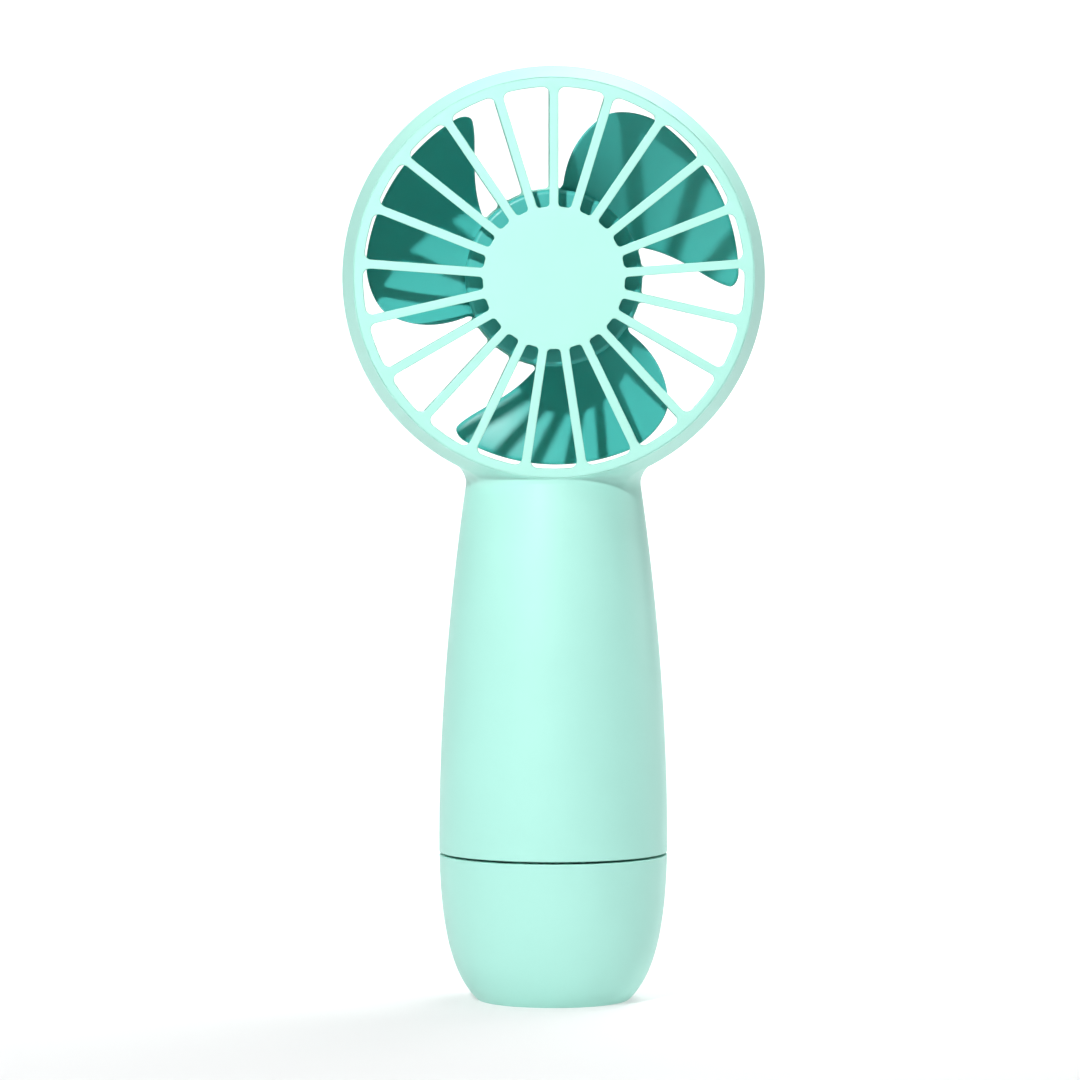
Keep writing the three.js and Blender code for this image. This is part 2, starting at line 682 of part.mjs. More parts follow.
// How far the tip's outline falls short of the full radius, rounding both corners.
function tipRounding(across) {
  const corner = (distance, width, drop) => {
    const part = Math.max(0, 1 - distance / width);
    return drop * (1 - Math.sqrt(1 - part ** 2));
  };
  return corner(across, 0.2, 4.2) + corner(1 - across, 0.07, 2);
}

// A blade is a block of 10 by 6 cells bent to its place: x runs across it, y out along it and z through it.
function blade(turn) {
  const geometry = new THREE.BoxGeometry(1, 1, 1, 10, 6, 1).translate(0.5, 0.5, 0);
  const position = geometry.attributes.position;
  const rootRadius = HUB_RADIUS - HUB_WALL / 2;
  for (let i = 0; i < position.count; i += 1) {
    const across = position.getX(i);
    const tip = BLADE_TIP_RADIUS - tipRounding(across);
    const radius = rootRadius + (tip - rootRadius) * position.getY(i);
    const share = (radius - rootRadius) / (BLADE_TIP_RADIUS - rootRadius);
    const angle = turn + THREE.MathUtils.lerp(convexEdge(share), concaveEdge(share), across);
    const camber = BLADE_CAMBER * Math.sin(Math.PI * across);
    const y = BLADE_FRONT_Y + BLADE_DEPTH * across + camber + BLADE_THICKNESS * position.getZ(i);
    position.setXYZ(i, radius * Math.sin(angle), y, radius * Math.cos(angle) + HEAD_CENTRE_Z);
  }
  return solid(geometry);
}

function impeller() {
  const boss = SHAFT_RADIUS + 2.2;
  const bore = SHAFT_RADIUS + GAP;
  const inner = HUB_RADIUS - HUB_WALL;
  const bossEnd = MOTOR_FRONT_Y - CUP_FRONT_WALL - 3 * GAP;
  const profile = [
    [0, HUB_FRONT_Y],
    [HUB_RADIUS - HUB_CHAMFER, HUB_FRONT_Y],
    [HUB_RADIUS, HUB_FRONT_Y + HUB_CHAMFER],
    [HUB_RADIUS, HUB_REAR_Y],
    [inner, HUB_REAR_Y],
    [inner, HUB_FRONT_Y + HUB_WALL],
    [boss, HUB_FRONT_Y + HUB_WALL],
    [boss, bossEnd],
    [bore, bossEnd],
    [bore, HUB_FRONT_Y + SHAFT_SOCKET_FLOOR],
    [0, HUB_FRONT_Y + SHAFT_SOCKET_FLOOR],
  ];
  const hub = onShaft(profile, HUB_FACETS);
  const insideHub = onShaft(discProfile(inner, HUB_FRONT_Y + HUB_WALL, HUB_REAR_Y + CUT_PAST), HUB_FACETS);
  const blades = Array.from({ length: BLADE_COUNT }, (_, i) => blade((2 * Math.PI * i) / BLADE_COUNT));
  const trimmed = blades.map((one) => cut(one, insideHub));
  return piece('impeller', join(hub, ...trimmed), tealPlastic);
}

// ---- Motor ----

function motorCan() {
  const inner = MOTOR_RADIUS - MOTOR_CAN_WALL;
  const hole = BUSH_RADIUS - 2 * GAP;
  const profile = [
    [hole, MOTOR_FRONT_Y],
    [MOTOR_RADIUS, MOTOR_FRONT_Y],
    [MOTOR_RADIUS, MOTOR_REAR_Y],
    [inner, MOTOR_REAR_Y],
    [inner, MOTOR_FRONT_Y + MOTOR_CAN_WALL],
    [hole, MOTOR_FRONT_Y + MOTOR_CAN_WALL],
    [hole, MOTOR_FRONT_Y],
  ];
  const screwHole = (side) => {
    const bored = discProfile(MOTOR_SCREW_RADIUS + GAP, MOTOR_FRONT_Y - CUT_PAST, MOTOR_FRONT_Y + 2);
    return turnedY(bored, SMALL_FACETS, side * MOTOR_SCREW_X, HEAD_CENTRE_Z);
  };
  return piece('motor_can', cut(onShaft(profile, MOTOR_FACETS), screwHole(-1), screwHole(1)), steel);
}

function motorEndBell() {
  const profile = ringProfile(SHAFT_RADIUS + 1.6, MOTOR_RADIUS - 0.1, MOTOR_REAR_Y + GAP, MOTOR_REAR_Y + 2.2);
  const tabSlot = (side) => box(
    [side * TERMINAL_X - 1.6, MOTOR_REAR_Y - CUT_PAST, HEAD_CENTRE_Z - TERMINAL_DROP - 0.7],
    [side * TERMINAL_X + 1.6, MOTOR_REAR_Y + 4, HEAD_CENTRE_Z - TERMINAL_DROP + 0.7],
  );
  return piece('motor_end_bell', cut(onShaft(profile, MOTOR_FACETS), tabSlot(-1), tabSlot(1)), whitePlastic);
}

function magnet(name, side) {
  const outline = new THREE.Shape();
  const middle = side > 0 ? 0 : Math.PI;
  const [from, to] = [middle - MAGNET_HALF_ANGLE, middle + MAGNET_HALF_ANGLE];
  const outer = MOTOR_RADIUS - MOTOR_CAN_WALL - GAP;
  outline.absarc(0, 0, outer, from, to);
  outline.absarc(0, 0, outer - MAGNET_THICKNESS, to, from, true);
  const shape = plateY(outline, MOTOR_FRONT_Y + 3.2, MOTOR_REAR_Y - 1, 8);
  return piece(name, shape.translate([0, 0, HEAD_CENTRE_Z]), ferrite);
}

// Three wound poles round the shaft.
function motorArmature() {
  const outline = new THREE.Shape();
  for (let i = 0; i < POLE_COUNT; i += 1) {
    const middle = (2 * Math.PI * i) / POLE_COUNT + Math.PI / 2;
    const gapMiddle = middle + Math.PI / POLE_COUNT;
    outline.absarc(0, 0, MOTOR_RADIUS - 3.5, middle - POLE_HALF_ANGLE, middle + POLE_HALF_ANGLE);
    outline.lineTo(POLE_WAIST * Math.cos(gapMiddle), POLE_WAIST * Math.sin(gapMiddle));
  }
  const core = plateY(outline, MOTOR_FRONT_Y + 3.4, MOTOR_REAR_Y - 1.6, 3).translate([0, 0, HEAD_CENTRE_Z]);
  const bore = onShaft(discProfile(SHAFT_RADIUS + GAP, MOTOR_FRONT_Y, MOTOR_REAR_Y), SMALL_FACETS);
  return piece('motor_armature', cut(core, bore), copper);
}

function commutator() {
  const profile = ringProfile(SHAFT_RADIUS + GAP, COMMUTATOR_RADIUS, MOTOR_REAR_Y - 1.3, MOTOR_REAR_Y + 1.5);
  return piece('commutator', onShaft(profile, SMALL_FACETS), brass);
}

function bush(name, radius, fromY, toY) {
  return piece(name, onShaft(ringProfile(SHAFT_RADIUS + 0.05, radius, fromY, toY), SMALL_FACETS), brass);
}

function motorShaft() {
  const front = HUB_FRONT_Y + SHAFT_SOCKET_FLOOR + GAP;
  const rear = MOTOR_REAR_Y + 4.4;
  const profile = [
    [0, front],
    [SHAFT_RADIUS - SHAFT_CHAMFER, front],
    [SHAFT_RADIUS, front + SHAFT_CHAMFER],
    [SHAFT_RADIUS, rear - SHAFT_CHAMFER],
    [SHAFT_RADIUS - SHAFT_CHAMFER, rear],
    [0, rear],
  ];
  return piece('motor_shaft', onShaft(profile, SMALL_FACETS), steel);
}

// Its head bears on the front wall of the motor cup and its shank enters the can.
function motorScrew(name, side) {
  const seat = MOTOR_FRONT_Y - GAP - CUP_FRONT_WALL - GAP;
  const placed = screw(1.7, 1.1, MOTOR_SCREW_RADIUS, 3.4);
  const turned = placed.rotate([-90, 0, 0]);
  return piece(name, turned.translate([side * MOTOR_SCREW_X, seat, HEAD_CENTRE_Z]), steel);
}

function terminal(name, side) {
  const [x, z] = [side * TERMINAL_X, HEAD_CENTRE_Z - TERMINAL_DROP];
  const low = [x - 1.2, MOTOR_REAR_Y + 0.8, z - 0.25];
  return piece(name, box(low, [x + 1.2, TERMINAL_END_Y, z + 0.25]), brass);
}

// From a terminal out along the inside of a rear spoke, through the port and down to the connector.
function motorWire(name, side, look) {
  const spoke = Math.PI / SPOKE_COUNT;
  const alongSpoke = (radius, y) => [
    side * radius * Math.sin(spoke),
    y,
    HEAD_CENTRE_Z - radius * Math.cos(spoke),
  ];
  const layer = PLATE_BACK - GAP - WIRE_RADIUS;
  const points = [
    [side * TERMINAL_X, TERMINAL_END_Y + 2 * WIRE_RADIUS, HEAD_CENTRE_Z - TERMINAL_DROP],
    [side * 3.6, layer - 0.4, HEAD_CENTRE_Z - 8.5],
    alongSpoke(14, layer),
    alongSpoke(22, layer),
    alongSpoke(30, layer),
    alongSpoke(37, layer),
    [side * 5.8, 12.6, HEAD_CENTRE_Z - 40.6],
    [side * 5.6, 12.5, HANDLE_CAVITY_TOP_Z],
    [side * 3.4, 13.4, HANDLE_CAVITY_TOP_Z - 6],
    [side * CONNECTOR_PIN_X, 14.6, BOARD_TOP_Z + 1],
  ];
  return piece(name, wire(points, WIRE_RADIUS, 28), look);
}

// ---- Battery ----

function cradleOutline(radius) {
  const outline = new THREE.Shape();
  outline.moveTo(radius, CRADLE_BACK_Y);
  outline.lineTo(-radius, CRADLE_BACK_Y);
  outline.lineTo(-radius, CELL_Y);
  outline.absarc(0, CELL_Y, radius, Math.PI, 2 * Math.PI);
  return outline;
}

// A trough that holds the cell, closed at both ends, with two ears for its screws.
function batteryCradle() {
  const [low, high] = [CRADLE_BOTTOM_Z + CRADLE_WALL, CRADLE_TOP_Z - CRADLE_WALL];
  const body = plateZ(cradleOutline(CRADLE_OUTER), CRADLE_BOTTOM_Z, CRADLE_TOP_Z, 10);
  const trough = join(
    plateZ(cradleOutline(CRADLE_INNER), low, high, 10),
    box([-CRADLE_INNER, 0, low], [CRADLE_INNER, BOARD_Y + CUT_PAST, high]),
  );
  const ledge = (z) => box(
    [-CRADLE_OUTER + 0.5, LEDGE_FRONT_Y, z - LEDGE_HALF_HEIGHT],
    [CRADLE_OUTER - 0.5, CRADLE_BACK_Y, z + LEDGE_HALF_HEIGHT],
  );
  const pilot = (z) => {
    const profile = discProfile(BOARD_SCREW_RADIUS + GAP, LEDGE_FRONT_Y - CUT_PAST, BOARD_Y + CUT_PAST);
    return turnedY(profile, SMALL_FACETS, 0, z);
  };
  const earEnd = THREAD_BORE_RADIUS - 1;
  const earRoot = CRADLE_OUTER - 1;
  const ear = (side) => box(
    [Math.min(side * earRoot, side * earEnd), -EAR_HALF_WIDTH, EAR_BOTTOM_Z],
    [Math.max(side * earRoot, side * earEnd), EAR_HALF_WIDTH, EAR_BOTTOM_Z + EAR_THICKNESS],
  );
  const earHole = (side) => {
    const top = EAR_BOTTOM_Z + EAR_THICKNESS + CUT_PAST;
    const profile = discProfile(CRADLE_SCREW_RADIUS + GAP, EAR_BOTTOM_Z - CUT_PAST, top);
    return turnedZ(profile, SMALL_FACETS, side * CRADLE_SCREW_X);
  };
  const shape = join(cut(body, trough), ...BOARD_SCREW_Z.map(ledge), ear(-1), ear(1));
  const bored = cut(shape, ...BOARD_SCREW_Z.map(pilot), earHole(-1), earHole(1));
  return piece('battery_cradle', bored, whitePlastic);
}

function batteryCell() {
  const profile = [
    [0, CELL_BOTTOM_Z],
    [CELL_RADIUS - 0.5, CELL_BOTTOM_Z],
    [CELL_RADIUS, CELL_BOTTOM_Z + 0.5],
    [CELL_RADIUS, CELL_TOP_Z - CELL_CAP_HEIGHT - 0.7],
    [CELL_RADIUS - 0.7, CELL_TOP_Z - CELL_CAP_HEIGHT],
    [CELL_CAP_RADIUS, CELL_TOP_Z - CELL_CAP_HEIGHT],
    [CELL_CAP_RADIUS - 0.2, CELL_TOP_Z],
    [0, CELL_TOP_Z],
  ];
  return piece('battery_cell', turnedZ(profile, MOTOR_FACETS, 0, CELL_Y), cellWrap);
}

function positiveContact() {
  const low = CELL_TOP_Z + GAP;
  const half = CONTACT_HALF_WIDTH;
  const plate = box([-half, CELL_Y - half, low], [half, CELL_Y + half, low + CONTACT_THICKNESS]);
  const end = [STRIP_HALF_WIDTH, CRADLE_BACK_Y, low + CONTACT_THICKNESS];
  const strip = box([-STRIP_HALF_WIDTH, CELL_Y, low], end);
  return piece('positive_contact', join(plate, strip), steel);
}

const SPRING_BOTTOM_Z = CRADLE_BOTTOM_Z + CRADLE_WALL + 2 * GAP + CONTACT_THICKNESS;

// A cone of wire that narrows from the strip up to the cell.
class SpringCurve extends THREE.Curve {
  getPoint(t) {
    const radius = THREE.MathUtils.lerp(SPRING_BOTTOM_RADIUS, SPRING_TOP_RADIUS, t);
    const angle = 2 * Math.PI * SPRING_TURNS * t;
    const low = SPRING_BOTTOM_Z + SPRING_WIRE_RADIUS;
    const high = CELL_BOTTOM_Z - GAP - SPRING_WIRE_RADIUS - 0.1;
    const z = THREE.MathUtils.lerp(low, high, t);
    return new THREE.Vector3(radius * Math.cos(angle), CELL_Y + radius * Math.sin(angle), z);
  }
}

function negativeSpring() {
  const section = new THREE.Shape().absarc(0, 0, SPRING_WIRE_RADIUS, 0, 2 * Math.PI);
  const options = { steps: 32, extrudePath: new SpringCurve(), curveSegments: 3 };
  return piece('negative_spring', solid(new THREE.ExtrudeGeometry(section, options)), steel);
}

function negativeStrip() {
  const low = CRADLE_BOTTOM_Z + CRADLE_WALL + GAP;
  const half = SPRING_BOTTOM_RADIUS + 0.1;
  const riserY = 9;
  const foot = box([-half, CELL_Y - half, low], [half, riserY + CONTACT_THICKNESS, low + CONTACT_THICKNESS]);
  const riserTop = [STRIP_HALF_WIDTH, riserY + CONTACT_THICKNESS, BOARD_BOTTOM_Z - 1];
  const riser = box([-STRIP_HALF_WIDTH, riserY, low], riserTop);
  return piece('negative_strip', join(foot, riser), steel);
}

function cradleScrew(name, side) {
  const placed = screw(2.2, 1.6, CRADLE_SCREW_RADIUS, CRADLE_SCREW_LENGTH);
  return piece(name, placed.translate([side * CRADLE_SCREW_X, 0, EAR_BOTTOM_Z - GAP]), steel);
}

// ---- Circuit board and controls ----

function circuitBoard() {
  const half = BOARD_WIDTH / 2;
  const board = box([-half, BOARD_Y, BOARD_BOTTOM_Z], [half, BOARD_BACK_Y, BOARD_TOP_Z]);
  const hole = discProfile(BOARD_SCREW_RADIUS + GAP, BOARD_Y - CUT_PAST, BOARD_BACK_Y + CUT_PAST);
  const holes = BOARD_SCREW_Z.map((z) => turnedY(hole, SMALL_FACETS, 0, z));
  return piece('circuit_board', cut(board, ...holes), greenBoard);
}

function boardScrew(name, z) {
  const placed = screw(1.5, 1, BOARD_SCREW_RADIUS, 5.5).rotate([90, 0, 0]);
  return piece(name, placed.translate([0, BOARD_BACK_Y + GAP, z]), steel);
}

function chargingPort() {
  const body = plateY(roundedSlot(PORT_HALF_LENGTH, PORT_RADIUS, PORT_Z), ON_BOARD_Y, PORT_MOUTH_Y, 6);
  const hollow = roundedSlot(PORT_HALF_LENGTH, PORT_RADIUS - PORT_WALL, PORT_Z);
  const mouth = plateY(hollow, ON_BOARD_Y + PORT_BACK, PORT_MOUTH_Y + CUT_PAST, 6);
  return piece('charging_port', cut(body, mouth), steel);
}

function portTongue() {
  const low = [-TONGUE_HALF_WIDTH, ON_BOARD_Y + PORT_BACK + GAP, PORT_Z - TONGUE_HALF_HEIGHT];
  const high = [TONGUE_HALF_WIDTH, PORT_MOUTH_Y - 1, PORT_Z + TONGUE_HALF_HEIGHT];
  return piece('port_tongue', box(low, high), blackPlastic);
}

function switchBody() {
  const half = SWITCH_HALF_WIDTH;
  const top = ON_BOARD_Y + SWITCH_HEIGHT;
  const body = box([-half, ON_BOARD_Y, BUTTON_Z - half], [half, top, BUTTON_Z + half]);
  const well = turnedY(discProfile(PLUNGER_RADIUS + GAP, ON_BOARD_Y + 0.4, top + CUT_PAST), 16, 0, BUTTON_Z);
  return piece('switch_body', cut(body, well), steel);
}

function switchPlunger() {
  const profile = discProfile(PLUNGER_RADIUS, ON_BOARD_Y + 1.5, PLUNGER_END_Y);
  return piece('switch_plunger', turnedY(profile, 16, 0, BUTTON_Z), blackPlastic);
}

// A round button whose face follows the handle, with a flange inside that keeps it from falling out.
function powerButton() {
  const profile = [
    [0, PLUNGER_END_Y + GAP],
    [BUTTON_STEM_RADIUS, PLUNGER_END_Y + GAP],
    [BUTTON_STEM_RADIUS, FLANGE_END_Y - FLANGE_THICKNESS],
    [FLANGE_RADIUS, FLANGE_END_Y - FLANGE_THICKNESS],
    [FLANGE_RADIUS, FLANGE_END_Y],
    [BUTTON_RADIUS, FLANGE_END_Y],
    [BUTTON_RADIUS, HANDLE_RADIUS],
    [0, HANDLE_RADIUS],
  ];
  const [low, high] = [BUTTON_Z - 10, BUTTON_Z + 10];
  const form = turnedZ([[0, low], ...handleSide(low, high, 4, -BUTTON_PROUD), [0, high]], HANDLE_FACETS);
  return piece('power_button', turnedY(profile, MOTOR_FACETS, 0, BUTTON_Z).intersect(form), mintPlastic);
}

function statusLed() {
  const high = [1, ON_BOARD_Y + 0.8, LED_Z + 0.6];
  return piece('status_led', box([-1, ON_BOARD_Y, LED_Z - 0.6], high), clearPlastic);
}

function lightPipe() {
  const profile = discProfile(LIGHT_PIPE_RADIUS, BOARD_BACK_Y + 1.6, handleRadius(LED_Z) - LIGHT_PIPE_INSET);
  return piece('light_pipe', turnedY(profile, 16, 0, LED_Z), clearPlastic);
}

// A component that stands on the back of the board: its middle in X and Z, and its size.
function onBoard(name, x, z, width, height, depth, look) {
  const low = [x - width / 2, ON_BOARD_Y, z - height / 2];
  return piece(name, box(low, [x + width / 2, ON_BOARD_Y + depth, z + height / 2]), look);
}

function capacitor() {
  const profile = discProfile(CAPACITOR_RADIUS, ON_BOARD_Y, ON_BOARD_Y + CAPACITOR_HEIGHT);
  return piece('capacitor', turnedY(profile, 16, -5.5, 66), ferrite);
}

function motorConnector() {
  const top = BOARD_TOP_Z - 0.6;
  const high = [CONNECTOR_HALF_WIDTH, ON_BOARD_Y + CONNECTOR_HEIGHT, top];
  const body = box([-CONNECTOR_HALF_WIDTH, ON_BOARD_Y, CONNECTOR_LOW_Z], high);
  const socket = (side) => box(
    [side * CONNECTOR_PIN_X - 0.8, ON_BOARD_Y + 0.8, CONNECTOR_LOW_Z + 0.8],
    [side * CONNECTOR_PIN_X + 0.8, ON_BOARD_Y + 2.6, top + CUT_PAST],
  );
  return piece('motor_connector', cut(body, socket(-1), socket(1)), whitePlastic);
}

// ---- Bottom cap ----

function bottomCap() {
  const shoulderZ = CAP_TOP_Z - CAP_SHOULDER;
  const sealRoot = SPIGOT_RADIUS - SEAL_DEPTH;
  const sealTop = SEAL_LOW_Z + SEAL_HEIGHT + GAP;
  const outside = [
    [0, PAD_THICKNESS + GAP],
    [PAD_RADIUS + GAP, PAD_THICKNESS + GAP],
    [PAD_RADIUS + GAP, 0],
    [BASE_RADIUS, 0],
    ...capSide(0, 0.2, CAP_TOP_Z - 1, 10),
    [HANDLE_RADIUS, CAP_TOP_Z],
    [sealRoot, CAP_TOP_Z],
    [sealRoot, sealTop],
    [SPIGOT_RADIUS, sealTop],
    [SPIGOT_RADIUS, SPIGOT_TOP_Z],
  ];
  const inside = [
    [SPIGOT_BORE, SPIGOT_TOP_Z],
    [SPIGOT_BORE, shoulderZ],
    [HANDLE_RADIUS - CAP_WALL, shoulderZ],
    ...capSide(CAP_WALL, CAP_FLOOR + 0.6, shoulderZ - 1, 7).reverse(),
    [BASE_RADIUS - 0.4, CAP_FLOOR],
    [0, CAP_FLOOR],
  ];
  const body = turnedZ([...outside, ...inside], HANDLE_FACETS);
  return piece('bottom_cap', join(body, ...eachStart(threadLug)), mintPlastic);
}

function capSeal() {
  const inner = SPIGOT_RADIUS - SEAL_DEPTH + GAP;
  const profile = ringProfile(inner, THREAD_BORE_RADIUS - GAP, SEAL_LOW_Z, SEAL_LOW_Z + SEAL_HEIGHT);
  return piece('cap_seal', turnedZ(profile, HANDLE_FACETS), greyRubber);
}

function footPad() {
  return piece('foot_pad', turnedZ(discProfile(PAD_RADIUS, 0, PAD_THICKNESS), MOTOR_FACETS), greyRubber);
}

// ---- Assembly ----

function group(...pieces) {
  const made = new THREE.Group();
  made.add(...pieces);
  return made;
}

const motor = () => group(
  motorCan(),
  motorEndBell(),
  magnet('magnet_left', -1),
  magnet('magnet_right', 1),
  bush('front_bush', BUSH_RADIUS - 0.9, MOTOR_FRONT_Y - 1, MOTOR_FRONT_Y + 2.8),
  bush('rear_bush', SHAFT_RADIUS + 1.3, MOTOR_REAR_Y + 1.8, MOTOR_REAR_Y + 3.6),
  motorScrew('motor_screw_left', -1),
  motorScrew('motor_screw_right', 1),
  terminal('terminal_left', -1),
  terminal('terminal_right', 1),
);

const rotor = () => group(impeller(), motorShaft(), motorArmature(), commutator());

const battery = () => group(
  batteryCradle(),
  batteryCell(),
  positiveContact(),
  negativeSpring(),
  negativeStrip(),
  cradleScrew('cradle_screw_left', -1),
  cradleScrew('cradle_screw_right', 1),
);

const electronics = () => group(
  circuitBoard(),
  chargingPort(),
  portTongue(),
  switchBody(),
  statusLed(),
  lightPipe(),
  onBoard('control_chip', -2.5, 60.5, 5, 4, 1.2, blackPlastic),
  onBoard('inductor', 5, 62, 6, 6, 3, ferrite),
  capacitor(),
  motorConnector(),
  boardScrew('board_screw_bottom', BOARD_SCREW_Z[0]),
  boardScrew('board_screw_top', BOARD_SCREW_Z[1]),
  motorWire('motor_wire_red', 1, redCover),
  motorWire('motor_wire_black', -1, blackPlastic),
);

const controls = () => group(powerButton(), switchPlunger());
const closure = () => group(bottomCap(), capSeal(), footPad());

export default group(
  mainShell(),
  frontGrille(),
  rearGrille(),
  motorCover(),
  motor(),
  rotor(),
  battery(),
  electronics(),
  controls(),
  closure(),
);
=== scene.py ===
"""A handheld electric fan: the fine surfaces and materials around its CAD frame.

Meshes are built in millimetres in the CAD's own frame and scaled to metres when an object is made.
+Z is up, the fan blows towards -Y, and the origin is the middle of the flat base.
"""

import json
import math

import bmesh
import bpy
import numpy as np
from mathutils import Matrix, Vector


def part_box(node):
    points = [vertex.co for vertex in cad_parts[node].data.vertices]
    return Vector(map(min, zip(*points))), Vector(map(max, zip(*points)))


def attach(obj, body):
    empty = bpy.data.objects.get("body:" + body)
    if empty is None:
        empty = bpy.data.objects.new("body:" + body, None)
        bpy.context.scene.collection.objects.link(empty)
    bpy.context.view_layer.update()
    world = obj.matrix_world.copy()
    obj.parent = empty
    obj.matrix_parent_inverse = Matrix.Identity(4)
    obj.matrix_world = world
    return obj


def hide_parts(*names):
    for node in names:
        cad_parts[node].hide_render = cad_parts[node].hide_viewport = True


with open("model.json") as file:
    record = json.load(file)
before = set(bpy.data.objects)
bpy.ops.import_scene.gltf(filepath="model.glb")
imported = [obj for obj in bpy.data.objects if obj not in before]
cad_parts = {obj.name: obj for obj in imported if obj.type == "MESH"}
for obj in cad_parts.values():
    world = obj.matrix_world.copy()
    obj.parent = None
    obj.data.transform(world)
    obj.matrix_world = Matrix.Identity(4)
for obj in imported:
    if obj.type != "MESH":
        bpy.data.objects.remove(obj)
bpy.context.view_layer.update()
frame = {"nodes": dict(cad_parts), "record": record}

MM = 0.001


def box_mm(node):
    """Lowest and highest corner of a CAD node, in millimetres."""
    low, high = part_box(node)
    return low / MM, high / MM


# ---- Sizes, in millimetres ----

SHELL_LOW, SHELL_HIGH = box_mm("main_shell")
HEAD_RADIUS = (SHELL_HIGH.x - SHELL_LOW.x) / 2
HEAD_Z = SHELL_HIGH.z - HEAD_RADIUS
HANDLE_RADIUS = (SHELL_HIGH.y - SHELL_LOW.y) / 2
FACE_Y = -box_mm("front_grille")[0].y  # half the depth of the head
HUB_FRONT_Y = box_mm("impeller")[0].y
HUB_REAR_Y = box_mm("impeller")[1].y
CUP_FRONT_Y = box_mm("rear_grille")[0].y
BUTTON_Z = sum(corner.z for corner in box_mm("power_button")) / 2
LIGHT_Z = sum(corner.z for corner in box_mm("light_pipe")) / 2
PORT_Z = sum(corner.z for corner in box_mm("charging_port")) / 2

GRILLE_THICKNESS = 2.2
SKIRT_DEPTH = 2.2
SKIRT_THICKNESS = 0.7
SEAM = 0.03  # the fine gap between a grille and the ring
GAP = 0.3
GRILLE_ROUNDING = 0.15


class End:
    """One end of the head. Its flat face ends at face_radius and the ring slopes away from there."""

    def __init__(self, side, face_radius, slope_depth, bore_radius, slot_radius):
        self.side = side
        self.face_radius = face_radius
        self.slope_depth = slope_depth
        self.bore_radius = bore_radius
        self.slot_radius = slot_radius
        self.shoulder_y = FACE_Y - slope_depth
        self.seat_radius = face_radius - 0.15
        self.grille_radius = self.seat_radius - SEAM
        self.skirt_radius = bore_radius - GAP


FRONT = End(-1, 40.93, 7.5, 40.4, 38.9)
REAR = End(1, 42.5, 1.5, 41.7, 40.5)

SPOKES = 21
SPOKE_WIDTH = 1.82
SLOT_INNER_RADIUS = 14.5
SLOT_INNER_CORNER = 0.8
SLOT_OUTER_CORNER = 1.4
REAR_DISC_RADIUS = 18.8

MOTOR_CUP_RADIUS = 14.55
MOTOR_CUP_BORE = 12.35
MOTOR_CUP_WALL = 1.5
MOTOR_CUP_FLARE = 1.0
SHAFT_HOLE_RADIUS = 3.3
WIRE_LOW = (-7.6, 10.9)  # the wires' way from the ring into the handle, seen from above
WIRE_HIGH = (7.6, 14.2)
NOTCH_HALF_WIDTH = 4
NOTCH_FRONT_Y = 11.9
NOTCH_TOP = 10.35  # below the fan's axis

BLADES = 3
HUB_RADIUS = 18.1
HUB_WALL = 1.5
BOSS_RADIUS = 3.2
SHAFT_BORE = 1.3
BLADE_TIP_RADIUS = 38.8
BLADE_HALF_THICKNESS = 0.62
BLADE_FRONT_Y = -9.5
BLADE_DEPTH = 22
BLADE_CAMBER = 3

NECK_RADIUS = 18.0
NECK_Z = 107.8
NECK_BLEND = 3.5  # reach of the soft corner between neck and ring
WIDEST_Z = 34.0
TAPER_POWER = 1.87
WALL = 2.0
CAVITY_TOP_Z = 104.0
BORE_TOP_Z = 39.0

THREAD_BORE = 21.5
THREADS = 3
THREAD_TRAVEL = 4
THREAD_TURN = math.pi / 2
THREAD_RISE = THREAD_TRAVEL / THREAD_TURN
LUG_ARC = 0.34
LUG_Z = 34.3
LUG_HEIGHT = 1.6
LUG_REACH = 0.9

BASE_RADIUS = 15.7
CAP_TOP_Z = 30.35
CAP_WALL = 2.2
CAP_FLOOR = 2.6
SEAL_SEAT_RADIUS = 20.0
SEAL_SEAT_TOP_Z = 32.9
SPIGOT_RADIUS = 21.0
SPIGOT_BORE = 19.2
SPIGOT_LOW_Z = 28.0
SPIGOT_TOP_Z = box_mm("bottom_cap")[1].z
PAD_RADIUS = 12.0
PAD_THICKNESS = 0.9
PAD_GROOVES = (4.0, 7.0, 10.0)

BUTTON_RADIUS = 5.3
BUTTON_FLANGE_RADIUS = 6.2
BUTTON_FLANGE_Y = (16.3, 17.2)
LIGHT_RADIUS = 1.5
PORT_RADIUS = 1.65
PORT_BORE = 1.3
PORT_DEPTH = 2.5
PORT_HALF_LENGTH = 2.9  # to the middle of each round end

FINE = 256  # facets round a large form
MEDIUM = 96
SMALL = 48


# ---- Mesh tools ----


def make(name, points, faces, sharp=32):
    """An object from points in millimetres. Its faces are turned outwards and shaded smooth."""
    mesh = bpy.data.meshes.new(name)
    mesh.from_pydata((np.asarray(points, float) * MM).tolist(), [], faces)
    work = bmesh.new()
    work.from_mesh(mesh)
    bmesh.ops.remove_doubles(work, verts=work.verts, dist=1e-7)
    bmesh.ops.recalc_face_normals(work, faces=work.faces)
    work.to_mesh(mesh)
    work.free()
    made = bpy.data.objects.new(name, mesh)
    bpy.context.scene.collection.objects.link(made)
    shade(made, sharp)
    return made


def shade(obj, sharp=32):
    """Smooth shading with sharp edges where the faces meet at more than an angle in degrees."""
    work = bmesh.new()
    work.from_mesh(obj.data)
    for face in work.faces:
        face.smooth = True
    for edge in work.edges:
        edge.smooth = len(edge.link_faces) == 2 and edge.calc_face_angle(0) < math.radians(sharp)
    work.to_mesh(obj.data)
    work.free()


def steady_normals(obj):
    """Lets large faces set the normals at their rims, so that flats stay flat beside small roundings."""
    modifier = obj.modifiers.new("steady", "WEIGHTED_NORMAL")
    modifier.keep_sharp = True
    modifier.weight = 100


